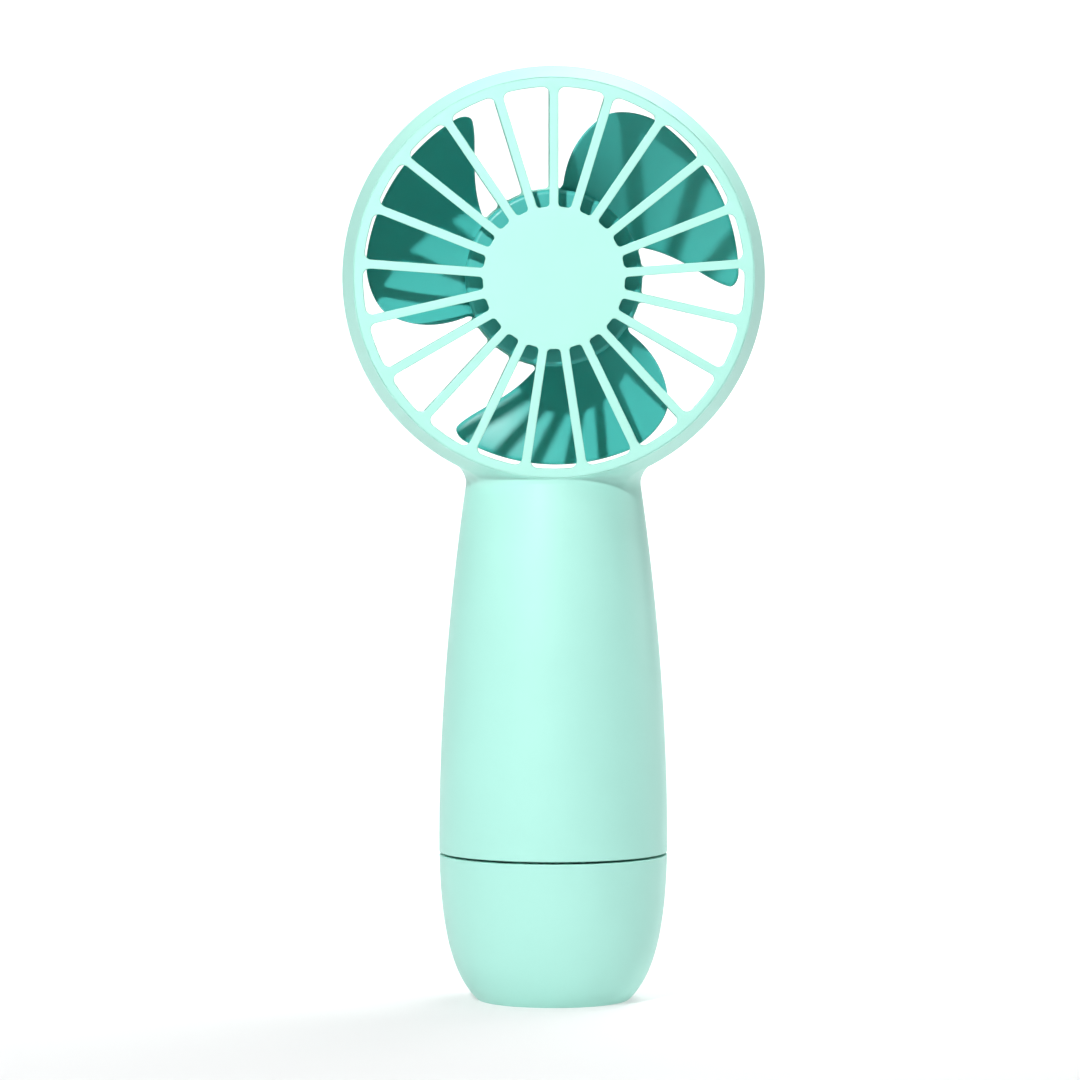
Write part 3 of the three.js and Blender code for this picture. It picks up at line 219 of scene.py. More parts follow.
def combine(obj, others, operation, sharp=32):
    """Joins the other solids to obj or cuts them away, and removes them."""
    for other in others:
        modifier = obj.modifiers.new("combine", "BOOLEAN")
        modifier.operation = operation
        modifier.solver = "MANIFOLD"
        modifier.object = other
        evaluated = obj.evaluated_get(bpy.context.evaluated_depsgraph_get())
        mesh = bpy.data.meshes.new_from_object(evaluated)
        obj.modifiers.clear()
        obj.data = mesh
        bpy.data.objects.remove(other)
    shade(obj, sharp)
    return obj


def rounded(corners, steps=4, closed=False):
    """A profile from (radius, height, rounding) corners, each rounded by an arc of that size."""
    points = []
    count = len(corners)
    for i, corner in enumerate(corners):
        here = np.array(corner[:2], float)
        size = corner[2] if len(corner) > 2 else 0
        if size == 0 or (not closed and i in (0, count - 1)):
            points.append(tuple(here))
            continue
        before = np.array(corners[i - 1][:2], float) - here
        after = np.array(corners[(i + 1) % count][:2], float) - here
        before /= np.linalg.norm(before)
        after /= np.linalg.norm(after)
        half = math.acos(float(np.clip(before @ after, -1, 1))) / 2
        centre = here + (before + after) / np.linalg.norm(before + after) * size / math.sin(half)
        start = here + before * size / math.tan(half) - centre
        end = here + after * size / math.tan(half) - centre
        sweep = math.pi - 2 * half
        for k in range(steps + 1):
            t = k / steps
            part = (math.sin((1 - t) * sweep) * start + math.sin(t * sweep) * end) / math.sin(sweep)
            points.append(tuple(centre + part))
    return points


def strips(rings, closed=False):
    """Quads between rings of point numbers. A ring of one number is a pole."""
    faces = []
    pairs = list(zip(rings, rings[1:]))
    if closed:
        pairs.append((rings[-1], rings[0]))
    for low, high in pairs:
        count = max(len(low), len(high))
        for j in range(count):
            k = (j + 1) % count
            corners = [low[j % len(low)], low[k % len(low)], high[k % len(high)], high[j % len(high)]]
            face = list(dict.fromkeys(corners))
            if len(face) > 2:
                faces.append(face)
    return faces


def grid(rows):
    """Points and rings from rows of points. A row of one point is a pole."""
    points = []
    rings = []
    for row in rows:
        rings.append(list(range(len(points), len(points) + len(row))))
        points.extend(row)
    return points, rings


def turned(name, profile, segments, place, closed=False):
    """A turned solid. place(radius, angle, height) says where a point of the profile goes."""
    rows = []
    for radius, height in profile:
        count = segments if radius > 1e-6 else 1
        rows.append([place(radius, 2 * math.pi * j / segments, height) for j in range(count)])
    points, rings = grid(rows)
    return make(name, points, strips(rings, closed))


def about_z(radius, angle, height):
    return (radius * math.cos(angle), radius * math.sin(angle), height)


def about_fan(radius, angle, y):
    return (radius * math.sin(angle), y, HEAD_Z + radius * math.cos(angle))


def block(name, low, high):
    """A plain block, used only to cut with."""
    points = [(x, y, z) for x in (low[0], high[0]) for y in (low[1], high[1]) for z in (low[2], high[2])]
    faces = [(0, 1, 3, 2), (4, 6, 7, 5), (0, 4, 5, 1), (2, 3, 7, 6), (0, 2, 6, 4), (1, 5, 7, 3)]
    return make(name, points, faces)


# ---- Outer form ----


def handle_radius(z):
    """The handle narrows ever faster from its widest ring to the neck, and is straight above that."""
    share = np.clip((z - WIDEST_Z) / (NECK_Z - WIDEST_Z), 0, 1)
    return HANDLE_RADIUS - (HANDLE_RADIUS - NECK_RADIUS) * share**TAPER_POWER


def ring_radius(y):
    """Outer radius of the head's ring at a depth."""
    radius = HEAD_RADIUS
    for end in (FRONT, REAR):
        slope = np.clip((end.side * y - end.shoulder_y) / end.slope_depth, 0, 1)
        radius = radius - (HEAD_RADIUS - end.face_radius) * slope
    return radius


def body_distance(x, y, z):
    """Below zero inside the ring or the handle. Their soft corner fades towards the faces."""
    handle = np.hypot(x, y) - handle_radius(z)
    ring = np.maximum(np.hypot(x, z - HEAD_Z) - ring_radius(y), np.abs(y) - FACE_Y) + 0.02
    reach = NECK_BLEND * np.clip(1 - (y / FACE_Y) ** 4, 0.03, 1)
    overlap = np.maximum(reach - np.abs(handle - ring), 0) / reach
    return np.minimum(handle, ring) - overlap**2 * reach / 4


def ring_underside(x, y, radius=None):
    radius = ring_radius(y) if radius is None else radius
    return HEAD_Z - np.sqrt(radius**2 - x**2)


def neck_rows(from_z, steps):
    """Rings of points up the neck and out over the ring's underside.

    In the upright plane of each angle, rays fan out from a point inside the neck up to the surface.
    """
    angle = 2 * math.pi * np.arange(FINE) / FINE
    across = np.cos(angle)
    deep = np.sin(angle)
    eye_radius, eye_z = 8.0, HEAD_Z - HEAD_RADIUS + 6
    end_radius = np.minimum(26.5, (FACE_Y - 0.05) / np.maximum(np.abs(deep), 1e-6))
    end_z = ring_underside(end_radius * across, end_radius * deep)
    first = np.arctan2(from_z - eye_z, handle_radius(from_z) - eye_radius)
    last = np.arctan2(end_z - eye_z, end_radius - eye_radius)
    rows = []
    for i in range(1, steps + 1):
        slope = first + (last - first) * i / steps
        near = np.zeros(FINE)
        far = np.full(FINE, 40.0)
        for _ in range(40):
            middle = (near + far) / 2
            radius = eye_radius + middle * np.cos(slope)
            z = eye_z + middle * np.sin(slope)
            inside = body_distance(radius * across, radius * deep, z) < 0
            near = np.where(inside, middle, near)
            far = np.where(inside, far, middle)
        radius = eye_radius + near * np.cos(slope)
        rows.append(np.stack([radius * across, radius * deep, eye_z + near * np.sin(slope)], 1))
    return rows


def neck_cap_rows(last_row, steps=6):
    """Closes the neck inside the ring's wall, on a cylinder that lies within that wall."""
    inside_wall = FRONT.bore_radius + 0.7
    rows = []
    for i in range(steps):
        scale = 0.93 * (1 - i / steps)
        x, y = last_row[:, 0] * scale, last_row[:, 1] * scale
        x = last_row[:, 0] if i == 0 else x
        rows.append(np.stack([x, y, ring_underside(x, y, inside_wall)], 1))
    rows.append(np.array([[0, 0, ring_underside(0, 0, inside_wall)]]))
    return rows


def handle_solid():
    low = SHELL_LOW.z
    rim = rounded([(0, low), (HANDLE_RADIUS, low, 0.22), (HANDLE_RADIUS, low + 2)])
    side = [(float(handle_radius(z)), z) for z in np.linspace(low + 2.5, 94, 44)]
    rows = []
    for radius, height in rim + side:
        count = FINE if radius > 1e-6 else 1
        rows.append([about_z(radius, 2 * math.pi * j / FINE, height) for j in range(count)])
    upper = neck_rows(94.0, 60)
    rows.extend(row.tolist() for row in upper + neck_cap_rows(upper[-1]))
    points, rings = grid(rows)
    return make("handle_solid", points, strips(rings))


def handle_cavity():
    """The room inside the handle, from below its rim up to the neck, with a bevelled mouth."""
    top = CAVITY_TOP_Z
    below = SHELL_LOW.z - 10.0
    mouth = [(0, below), (THREAD_BORE + 1, below), (THREAD_BORE + 1, SHELL_LOW.z - 0.2)]
    bore = [(THREAD_BORE, SHELL_LOW.z + 0.5), (THREAD_BORE, BORE_TOP_Z)]
    side = [(float(handle_radius(z)) - WALL, z) for z in np.linspace(BORE_TOP_Z + 1, top - 2, 16)]
    profile = mouth + bore + side + [(side[-1][0] - 2, top), (0, top)]
    return turned("handle_cavity", profile, 128, about_z)


def ring_solid():
    """The ring round the impeller: a barrel, a bore, and a recess for a grille at each end."""
    recess = FACE_Y - GRILLE_THICKNESS - GAP
    step = FACE_Y - GRILLE_THICKNESS - SKIRT_DEPTH - GAP
    profile = rounded(
        [
            (FRONT.bore_radius, -recess, 0.1),
            (FRONT.seat_radius, -recess, 0.05),
            (FRONT.seat_radius, -FACE_Y, 0.04),
            (FRONT.face_radius, -FACE_Y, 0.06),
            (HEAD_RADIUS, -FRONT.shoulder_y, 2.5),
            (HEAD_RADIUS, REAR.shoulder_y, 0.6),
            (REAR.face_radius, FACE_Y, 0.3),
            (REAR.seat_radius, FACE_Y, 0.04),
            (REAR.seat_radius, recess, 0.05),
            (REAR.bore_radius, recess, 0.1),
            (REAR.bore_radius, step, 0.2),
            (FRONT.bore_radius, step, 0.3),
        ],
        5,
        closed=True,
    )
    return turned("ring_solid", profile, FINE, about_fan, closed=True)


def on_skin(half_length, centre_z):
    """Places a flat outline on the back of the handle. Heights are measured from its surface."""

    def place(radius, angle, height):
        shift = half_length if math.cos(angle) > 0 else -half_length
        x = shift + radius * math.cos(angle)
        z = centre_z + radius * math.sin(angle)
        return (x, math.sqrt(float(handle_radius(z)) ** 2 - x**2) + height, z)

    return place


def skin_hole(name, radius, half_length, centre_z, lip=0.35):
    """Cuts through the wall at the back, with a rounded rim of the lip's size."""
    profile = [(0, 1.5), (radius + lip, 1.5), (radius + lip, 0.02)]
    for k in range(1, 7):
        angle = math.pi / 2 * k / 6
        profile.append((radius + lip * (1 - math.sin(angle)), -lip * (1 - math.cos(angle))))
    profile.extend([(radius, -WALL - 1.5), (0, -WALL - 1.5)])
    return turned(name, profile, MEDIUM, on_skin(half_length, centre_z))


def helical_band(name, inner, outer, height, start, end, low_z, rise, steps=28):
    """A ring sector that climbs as it goes round."""
    rows = []
    for i in range(steps + 1):
        angle = start + (end - start) * i / steps
        z = low_z + (angle - start) * rise
        corners = [(inner, z), (outer, z), (outer, z + height), (inner, z + height)]
        rows.append([about_z(radius, angle, level) for radius, level in corners])
    points, rings = grid(rows)
    faces = strips(rings) + [rings[0], rings[-1][::-1]]
    return make(name, points, faces)


def thread_grooves():
    """Grooves for the cap's lugs. Each runs down from a lug at rest, and out below the rim."""
    grooves = []
    for i in range(THREADS):
        lug = 2 * math.pi * i / THREADS
        start = lug - THREAD_TURN - 0.3
        end = lug + LUG_ARC + 0.014
        low = LUG_Z - GAP + (start - lug) * THREAD_RISE
        reach = THREAD_BORE + LUG_REACH + GAP
        height = LUG_HEIGHT + 2 * GAP
        band = helical_band(f"groove_{i}", THREAD_BORE - 1, reach, height, start, end, low, THREAD_RISE)
        grooves.append(band)
    return grooves


def wire_port(rear_y):
    """Cuts the way for the motor's wires, from the handle's room up through the ring."""
    low = (*WIRE_LOW, CAVITY_TOP_Z - 2)
    high = (WIRE_HIGH[0], rear_y, HEAD_Z - FRONT.bore_radius + 3)
    return block("wire_port", low, high)


def shell():
    body = combine(handle_solid(), [ring_solid()], "UNION")
    cutters = [
        handle_cavity(),
        wire_port(WIRE_HIGH[1]),
        skin_hole("button_hole", BUTTON_RADIUS + 0.15, 0, BUTTON_Z),
        skin_hole("light_hole", LIGHT_RADIUS + 0.1, 0, LIGHT_Z, 0.2),
        skin_hole("port_hole", PORT_RADIUS + 0.15, PORT_HALF_LENGTH, PORT_Z, 0.3),
        *thread_grooves(),
    ]
    combine(body, cutters, "DIFFERENCE")
    body.name = "shell"
    steady_normals(body)
    return body


# ---- Grilles ----


def slot_points(inner_radius, outer_radius):
    """One slot between two spokes, centred on straight up: its sides are parallel to the spokes."""
    half = math.pi / SPOKES
    side = SPOKE_WIDTH / 2

    def corner(size, radius):
        angle = half - math.asin((side + size) / radius)
        return radius * math.cos(angle), radius * math.sin(angle), angle

    def arc(x, y, size, start, end, steps):
        angles = [start + (end - start) * k / steps for k in range(steps + 1)]
        return [(x + size * math.cos(angle), y + size * math.sin(angle)) for angle in angles]

    outer = corner(SLOT_OUTER_CORNER, outer_radius - SLOT_OUTER_CORNER)
    inner = corner(SLOT_INNER_CORNER, inner_radius + SLOT_INNER_CORNER)
    normal = half + math.pi / 2
    upper = arc(0, 0, outer_radius, 0, outer[2], 6)
    upper += arc(outer[0], outer[1], SLOT_OUTER_CORNER, outer[2], normal, 8)[1:]
    upper += arc(inner[0], inner[1], SLOT_INNER_CORNER, normal, math.pi + inner[2], 8)
    upper += arc(0, 0, inner_radius, inner[2], 0, 3)[1:]
    lower = [(x, -y) for x, y in reversed(upper[1:-1])]
    return upper + lower


def plate(name, end, inner_radius, hole_radius=None):
    """A flat grille in the XY plane of a curve object, with rounded edges all round."""
    curve = bpy.data.curves.new(name, "CURVE")
    curve.dimensions = "2D"
    curve.fill_mode = "BOTH"
    curve.extrude = (GRILLE_THICKNESS / 2 - GRILLE_ROUNDING) * MM
    curve.bevel_depth = GRILLE_ROUNDING * MM
    curve.bevel_resolution = 3
    curve.offset = -GRILLE_ROUNDING * MM
    turns = [2 * math.pi * j / FINE for j in range(FINE)]
    circles = [end.grille_radius] + ([hole_radius] if hole_radius else [])
    outlines = [[(radius * math.cos(a), radius * math.sin(a)) for a in turns] for radius in circles]
    for i in range(SPOKES):
        turn = math.pi / 2 + (i + 0.5) * 2 * math.pi / SPOKES
        c, s = math.cos(turn), math.sin(turn)
        slot = slot_points(inner_radius, end.slot_radius)
        outlines.append([(x * c - y * s, x * s + y * c) for x, y in slot])
    for outline in outlines:
        spline = curve.splines.new("POLY")
        spline.points.add(len(outline) - 1)
        for point, (x, y) in zip(spline.points, outline):
            point.co = (x * MM, y * MM, 0, 1)
        spline.use_cyclic_u = True
    source = bpy.data.objects.new(name, curve)
    bpy.context.scene.collection.objects.link(source)
    evaluated = source.evaluated_get(bpy.context.evaluated_depsgraph_get())
    mesh = bpy.data.meshes.new_from_object(evaluated)
    bpy.data.objects.remove(source)
    made = bpy.data.objects.new(name, mesh)
    bpy.context.scene.collection.objects.link(made)
    return made


def stand_plate(obj, middle_y):
    """Turns a plate upright, so that its +Y points up the head, and moves its middle to a depth."""
    place = Matrix.Translation((0, middle_y * MM, HEAD_Z * MM)) @ Matrix.Rotation(math.pi / 2, 4, "X")
    obj.data.transform(place)
    work = bmesh.new()
    work.from_mesh(obj.data)
    bmesh.ops.remove_doubles(work, verts=work.verts, dist=2e-6)
    bmesh.ops.recalc_face_normals(work, faces=work.faces)
    work.to_mesh(obj.data)
    work.free()
    shade(obj, 40)
    steady_normals(obj)
    return obj


def skirt(name, end):
    """The thin wall behind a grille's rim."""
    near = FACE_Y - GRILLE_THICKNESS + 0.3
    far = FACE_Y - GRILLE_THICKNESS - SKIRT_DEPTH
    inner = end.skirt_radius - SKIRT_THICKNESS
    corners = [
        (inner, end.side * near),
        (end.skirt_radius, end.side * near),
        (end.skirt_radius, end.side * far, 0.2),
        (inner, end.side * far, 0.2),
    ]
    return turned(name, rounded(corners, 3, closed=True), FINE, about_fan, closed=True)


def guard(name, end, inner_radius, hole_radius=None):
    """A spoked grille at one end of the head. The rear one has a round hole where the motor goes in."""
    middle = end.side * (FACE_Y - GRILLE_THICKNESS / 2)
    return stand_plate(plate(name, end, inner_radius, hole_radius), middle)


def rear_skirt():
    """The rear grille's thin wall, cut away where the motor's wires go down into the handle."""
    port = wire_port(FACE_Y - GRILLE_THICKNESS - 0.1)
    return combine(skirt("rear_skirt", REAR), [port], "DIFFERENCE")


def motor_cup():
    """The cup in the middle of the rear grille that holds the motor, with a notch below for the wires."""
    front = CUP_FRONT_Y
    back = FACE_Y - 0.5
    flare = MOTOR_CUP_RADIUS + MOTOR_CUP_FLARE
    corners = [
        (SHAFT_HOLE_RADIUS, front, 0.2),
        (MOTOR_CUP_RADIUS, front, 0.8),
        (MOTOR_CUP_RADIUS, FACE_Y - GRILLE_THICKNESS - MOTOR_CUP_FLARE, 0.6),
        (flare, FACE_Y - GRILLE_THICKNESS + 0.2),
        (flare, back),
        (MOTOR_CUP_BORE, back),
        (MOTOR_CUP_BORE, front + MOTOR_CUP_WALL),
        (SHAFT_HOLE_RADIUS, front + MOTOR_CUP_WALL, 0.2),
    ]
    cup = turned("motor_cup", rounded(corners, 4, closed=True), MEDIUM, about_fan, closed=True)
    low = (-NOTCH_HALF_WIDTH, NOTCH_FRONT_Y, HEAD_Z - MOTOR_CUP_RADIUS - 5)
    high = (NOTCH_HALF_WIDTH, FACE_Y - GRILLE_THICKNESS, HEAD_Z - NOTCH_TOP)
    notch = block("wire_notch", low, high)
    return combine(cup, [notch], "DIFFERENCE")


def motor_cover():
    """The plain disc that closes the motor's cup, flush with the back and with a softened rim."""
    low, high = box_mm("motor_cover")
    radius = (high.x - low.x) / 2
    corners = [(0, high.y), (radius, high.y, 0.3), (radius, low.y, 0.1), (0, low.y)]
    return turned("cup_cover", rounded(corners, 4), FINE, about_fan)


# ---- Impeller ----


def convex_edge(share):
    """Clockwise angle of the blade's full edge, seen from the front, along its length."""
    root = 3.0 * np.clip(1 - share / 0.07, 0, 1) ** 2
    return np.radians(5.7 - root + 18 * share**2)


def concave_edge(share):
    """The same for the blade's hollow edge."""
    root = 3.0 * np.clip(1 - share / 0.07, 0, 1) ** 2
    return np.radians(69 + root + 33 * share - 9 * share**4)


def tip_rounding(across):
    """How far the tip's outline falls short of the full radius at its two corners."""

    def corner(distance, width, drop):
        part = np.clip(1 - distance / width, 0, 1)
        return drop * (1 - np.sqrt(1 - part**2))

    return corner(across, 0.2, 4.2) + corner(1 - across, 0.07, 2.0)


def blade_steps(count):
    """Shares from 0 to 1, closer together near both ends, where the blade's edge is round."""
    return 0.5 - 0.5 * np.cos(np.pi * np.linspace(0, 1, count))


def blade(number):
    """A twisted sheet with rounded edges. Its front and back meet in its outline."""
    columns, rows = 64, 44
    across, along = np.meshgrid(blade_steps(columns), blade_steps(rows))
    root = HUB_RADIUS - HUB_WALL * 0.6
    tip = BLADE_TIP_RADIUS - tip_rounding(across)
    radius = root + (tip - root) * along
    share = (radius - HUB_RADIUS) / (BLADE_TIP_RADIUS - HUB_RADIUS)
    angle = convex_edge(share) + (concave_edge(share) - convex_edge(share)) * across
    middle = BLADE_FRONT_Y + BLADE_DEPTH * across + BLADE_CAMBER * np.sin(np.pi * across)
    width = radius * (concave_edge(share) - convex_edge(share))
    to_edge = np.minimum(np.minimum(across, 1 - across) * width, (1 - along) * (tip - root))
    part = np.clip(1 - to_edge / 0.7, 0, 1)
    half = BLADE_HALF_THICKNESS * np.sqrt(1 - part**2)
    half[0, 1:-1] = BLADE_HALF_THICKNESS
    turn = angle + 2 * math.pi * number / BLADES

    def sheet(y):
        x = radius * np.sin(turn)
        z = HEAD_Z + radius * np.cos(turn)
        return np.stack([x, y, z], 2).reshape(-1, 3)

    points = np.vstack([sheet(middle - half), sheet(middle + half)])
    faces = []
    back = columns * rows
    for i in range(rows - 1):
        for j in range(columns - 1):
            a = i * columns + j
            quad = [a, a + 1, a + columns + 1, a + columns]
            faces.append(quad)
            faces.append([corner + back for corner in reversed(quad)])
    for j in range(columns - 1):
        faces.append([j, j + back, j + 1 + back, j + 1])
    return make(f"blade_{number}", points, faces, 50)


def impeller():
    """The hub, a cup with a boss for the shaft, and its blades."""
    inner = HUB_RADIUS - HUB_WALL
    boss_end = CUP_FRONT_Y - 0.6
    corners = [
        (0, HUB_FRONT_Y),
        (HUB_RADIUS, HUB_FRONT_Y, 1.0),
        (HUB_RADIUS, HUB_REAR_Y, 0.3),
        (inner, HUB_REAR_Y, 0.3),
        (inner, HUB_FRONT_Y + HUB_WALL, 0.8),
        (BOSS_RADIUS, HUB_FRONT_Y + HUB_WALL, 0.4),
        (BOSS_RADIUS, boss_end, 0.2),
        (SHAFT_BORE, boss_end),
        (SHAFT_BORE, HUB_FRONT_Y + 0.9),
        (0, HUB_FRONT_Y + 0.9),
    ]
    hub = turned("fan_wheel", rounded(corners, 6), FINE, about_fan)
    combine(hub, [blade(i) for i in range(BLADES)], "UNION", 40)
    steady_normals(hub)
    return hub


# ---- Bottom cap ----


def cap_curve(count):
    """The cap's side from the edge of its flat base up to its upright top."""
    base = np.array((BASE_RADIUS, 0.0))
    base_pull = np.array((BASE_RADIUS + 5.6, 5.2))
    side_pull = np.array((HANDLE_RADIUS, 16.0))
    side = np.array((HANDLE_RADIUS, WIDEST_Z))
    t = np.linspace(0, 1, count)[:, None]
    lower = base * (1 - t) ** 3 + 3 * base_pull * t * (1 - t) ** 2
    upper = 3 * side_pull * t**2 * (1 - t) + side * t**3
    curve = lower + upper
    return [tuple(point) for point in curve]


def cap_lug(number):
    """One of the lugs on the spigot, which climbs with the thread."""
    start = 2 * math.pi * number / THREADS
    inner = SPIGOT_RADIUS - 0.5
    reach = THREAD_BORE + LUG_REACH
    return helical_band(
        f"lug_{number}", inner, reach, LUG_HEIGHT, start, start + LUG_ARC, LUG_Z, THREAD_RISE, 8
    )


def bottom_cap():
    """A cup with a recess for the foot below, and a spigot above with a seat for the seal and the lugs."""
    curve = cap_curve(72)
    recess_radius = PAD_RADIUS + GAP
    recess = PAD_THICKNESS + GAP
    base = [
        (0, recess),
        (recess_radius, recess),
        (recess_radius, 0.12),
        (recess_radius + 0.12, 0.0),
        (BASE_RADIUS - 0.25, 0.0),
        (BASE_RADIUS - 0.1, 0.03),
    ]
    side = [(radius, z) for radius, z in curve if 0.1 < z < CAP_TOP_Z - 0.4]
    top = [
        (HANDLE_RADIUS, CAP_TOP_Z - 0.4),
        (HANDLE_RADIUS, CAP_TOP_Z, 0.22),
        (SEAL_SEAT_RADIUS, CAP_TOP_Z),
        (SEAL_SEAT_RADIUS, SEAL_SEAT_TOP_Z, 0.1),
        (SPIGOT_RADIUS, SEAL_SEAT_TOP_Z, 0.1),
        (SPIGOT_RADIUS, SPIGOT_TOP_Z, 0.3),
        (SPIGOT_BORE, SPIGOT_TOP_Z, 0.3),
        (SPIGOT_BORE, SPIGOT_LOW_Z),
    ]
    inside = [(HANDLE_RADIUS - CAP_WALL, SPIGOT_LOW_Z)]
    inside += [(radius - CAP_WALL, z) for radius, z in reversed(curve) if 3.2 < z < 26.5]
    inside += [(BASE_RADIUS - 0.4, CAP_FLOOR), (0, CAP_FLOOR)]
    cap = turned("base_cap", base + side + rounded(top)[1:] + inside, FINE, about_z)
    combine(cap, [cap_lug(i) for i in range(THREADS)], "UNION")
    steady_normals(cap)
    return cap


def cap_seal():
    """A soft ring between the cap's seat and the handle."""
    low, high = box_mm("cap_seal")
    inner = SEAL_SEAT_RADIUS + GAP
    outer = THREAD_BORE - GAP
    corners = [(inner, low.z, 0.4), (outer, low.z, 0.4), (outer, high.z, 0.4), (inner, high.z, 0.4)]
    return turned("seal_ring", rounded(corners, 4, closed=True), FINE, about_z, closed=True)


def foot_pad():
    """A rubber disc with shallow rings in its underside."""
    profile = [(0, 0.0)]
    for groove in PAD_GROOVES:
        profile += [(groove - 0.4, 0.0), (groove - 0.2, 0.25), (groove + 0.2, 0.25), (groove + 0.4, 0.0)]
    profile += [(PAD_RADIUS - 0.25, 0.0), (PAD_RADIUS - 0.05, 0.2)]
    profile += [(PAD_RADIUS, PAD_THICKNESS), (0, PAD_THICKNESS)]
    return turned("foot_disc", profile, MEDIUM, about_z)


# ---- Controls on the back ----


def power_button():
    """A round button with a shallow dish, whose rim follows the handle, and a flange inside the wall."""
    stem_y = box_mm("power_button")[0].y
    flange_low, flange_high = BUTTON_FLANGE_Y
    skin = float(handle_radius(BUTTON_Z))

    def place(radius, angle, height):
        x = radius * math.cos(angle)
        z = BUTTON_Z + radius * math.sin(angle)
        surface = math.sqrt(float(handle_radius(z)) ** 2 - x**2) if height > -1.5 else skin
        return (x, surface + height, z)

    dish = BUTTON_RADIUS - 1.0
    middle = 0.08
    top = [(0, middle)]
    top += [(radius, middle + 0.34 * (radius / dish) ** 2) for radius in np.linspace(0.4, dish, 14)]
    for inset, height in ((0.7, 0.46), (0.4, 0.44), (0.15, 0.32), (0.03, 0.1), (0, -0.3), (0, -1.4)):
        top.append((BUTTON_RADIUS - inset, height))
    inside = [
        (BUTTON_RADIUS, flange_high - skin),
        (BUTTON_FLANGE_RADIUS, flange_high - skin),
        (BUTTON_FLANGE_RADIUS, flange_low - skin),
        (0, stem_y - skin),
    ]
    return turned("push_button", top + inside, MEDIUM, place)


def light_pipe():
    """A small domed window."""
    low, high = box_mm("light_pipe")

    def place(radius, angle, y):
        return (radius * math.cos(angle), y, LIGHT_Z + radius * math.sin(angle))

    corners = [
        (0, low.y),
        (LIGHT_RADIUS, low.y, 0.1),
        (LIGHT_RADIUS, high.y - 0.1, 0.35),
        (0, high.y + 0.12),
    ]
    return turned("light_window", rounded(corners, 4), SMALL, place)


def charging_port():
    """A drawn metal socket with round ends, open at the back."""
    low, high = box_mm("charging_port")

    def place(radius, angle, y):
        shift = math.copysign(PORT_HALF_LENGTH, math.cos(angle))
        return (shift + radius * math.cos(angle), y, PORT_Z + radius * math.sin(angle))

    corners = [
        (0, low.y),
        (PORT_RADIUS, low.y, 0.2),
        (PORT_RADIUS, high.y, 0.12),
        (PORT_BORE, high.y, 0.12),
        (PORT_BORE, low.y + PORT_DEPTH),
        (0, low.y + PORT_DEPTH),
    ]
    return turned("charge_port", rounded(corners, 4), MEDIUM, place)


def motor_lead(name, side):
    """A round insulated wire along the same route as its CAD solid."""
    spoke = math.pi / SPOKES
    layer = FACE_Y - GRILLE_THICKNESS - 0.8

    def along(radius, y):
        return (side * radius * math.sin(spoke), y, HEAD_Z - radius * math.cos(spoke))

    route = [
        (side * 5, 13.4, HEAD_Z - 5.9),
        (side * 3.6, layer - 0.4, HEAD_Z - 8.5),
        along(14, layer),
        along(22, layer),
        along(30, layer),
        along(37, layer),
        (side * 5.8, 12.6, HEAD_Z - 40.6),
        (side * 5.6, 12.5, CAVITY_TOP_Z),
        (side * 3.4, 13.4, CAVITY_TOP_Z - 6),
        (side * 1.3, 14.6, 94.0),
    ]
    line = smooth_line([Vector(point) for point in route], 12)
    points, faces = tube(line, 0.5, 16)
    return make(name, points, faces)


def smooth_line(route, steps):
    """Catmull-Rom points through the route."""
    ends = [route[0] * 2 - route[1]] + route + [route[-1] * 2 - route[-2]]
    line = []
    for a, b, c, d in zip(ends, ends[1:], ends[2:], ends[3:]):
        for k in range(steps):
            t = k / steps
            square = (2 * a - 5 * b + 4 * c - d) * t**2
            cube = (3 * b - a - 3 * c + d) * t**3
            line.append(0.5 * (2 * b + (c - a) * t + square + cube))
    return line + [route[-1]]


def tube(line, radius, sides):
    """A closed round tube along a line."""
    rows = [[line[0]]]
    normal = Vector((1, 0, 0))
    for i, point in enumerate(line):
        ahead = (line[min(i + 1, len(line) - 1)] - line[max(i - 1, 0)]).normalized()
        normal = (normal - ahead * normal.dot(ahead)).normalized()
        side = ahead.cross(normal)
        turn = [2 * math.pi * j / sides for j in range(sides)]
        rows.append([point + radius * (normal * math.cos(a) + side * math.sin(a)) for a in turn])
    rows.append([line[-1]])
    points, rings = grid(rows)
    return [tuple(point) for point in points], strips(rings)


# ---- Materials ----


def new_material(name):
    material = bpy.data.materials.new(name)
    material.use_nodes = True
    nodes = material.node_tree.nodes
    return material, nodes, material.node_tree.links, nodes["Principled BSDF"]


def noise(nodes, links, vector, scale, detail=3.0, roughness=0.55):
    node = nodes.new("ShaderNodeTexNoise")
    node.inputs["Scale"].default_value = scale
    node.inputs["Detail"].default_value = detail
    node.inputs["Roughness"].default_value = roughness
    links.new(vector, node.inputs["Vector"])
    return node.outputs["Fac"]


def spread(nodes, links, value, low, high):
    """Stretches a noise's middle range to the range from low to high."""
    node = nodes.new("ShaderNodeMapRange")
    node.inputs["From Min"].default_value = 0.3
    node.inputs["From Max"].default_value = 0.7
    node.inputs["To Min"].default_value = low
    node.inputs["To Max"].default_value = high
    links.new(value, node.inputs["Value"])
    return node.outputs["Result"]


def mixed_colour(nodes, links, value, first, second):
    node = nodes.new("ShaderNodeMix")
    node.data_type = "RGBA"
    node.inputs["A"].default_value = (*first, 1)
    node.inputs["B"].default_value = (*second, 1)
    links.new(value, node.inputs["Factor"])
    return node.outputs["Result"]


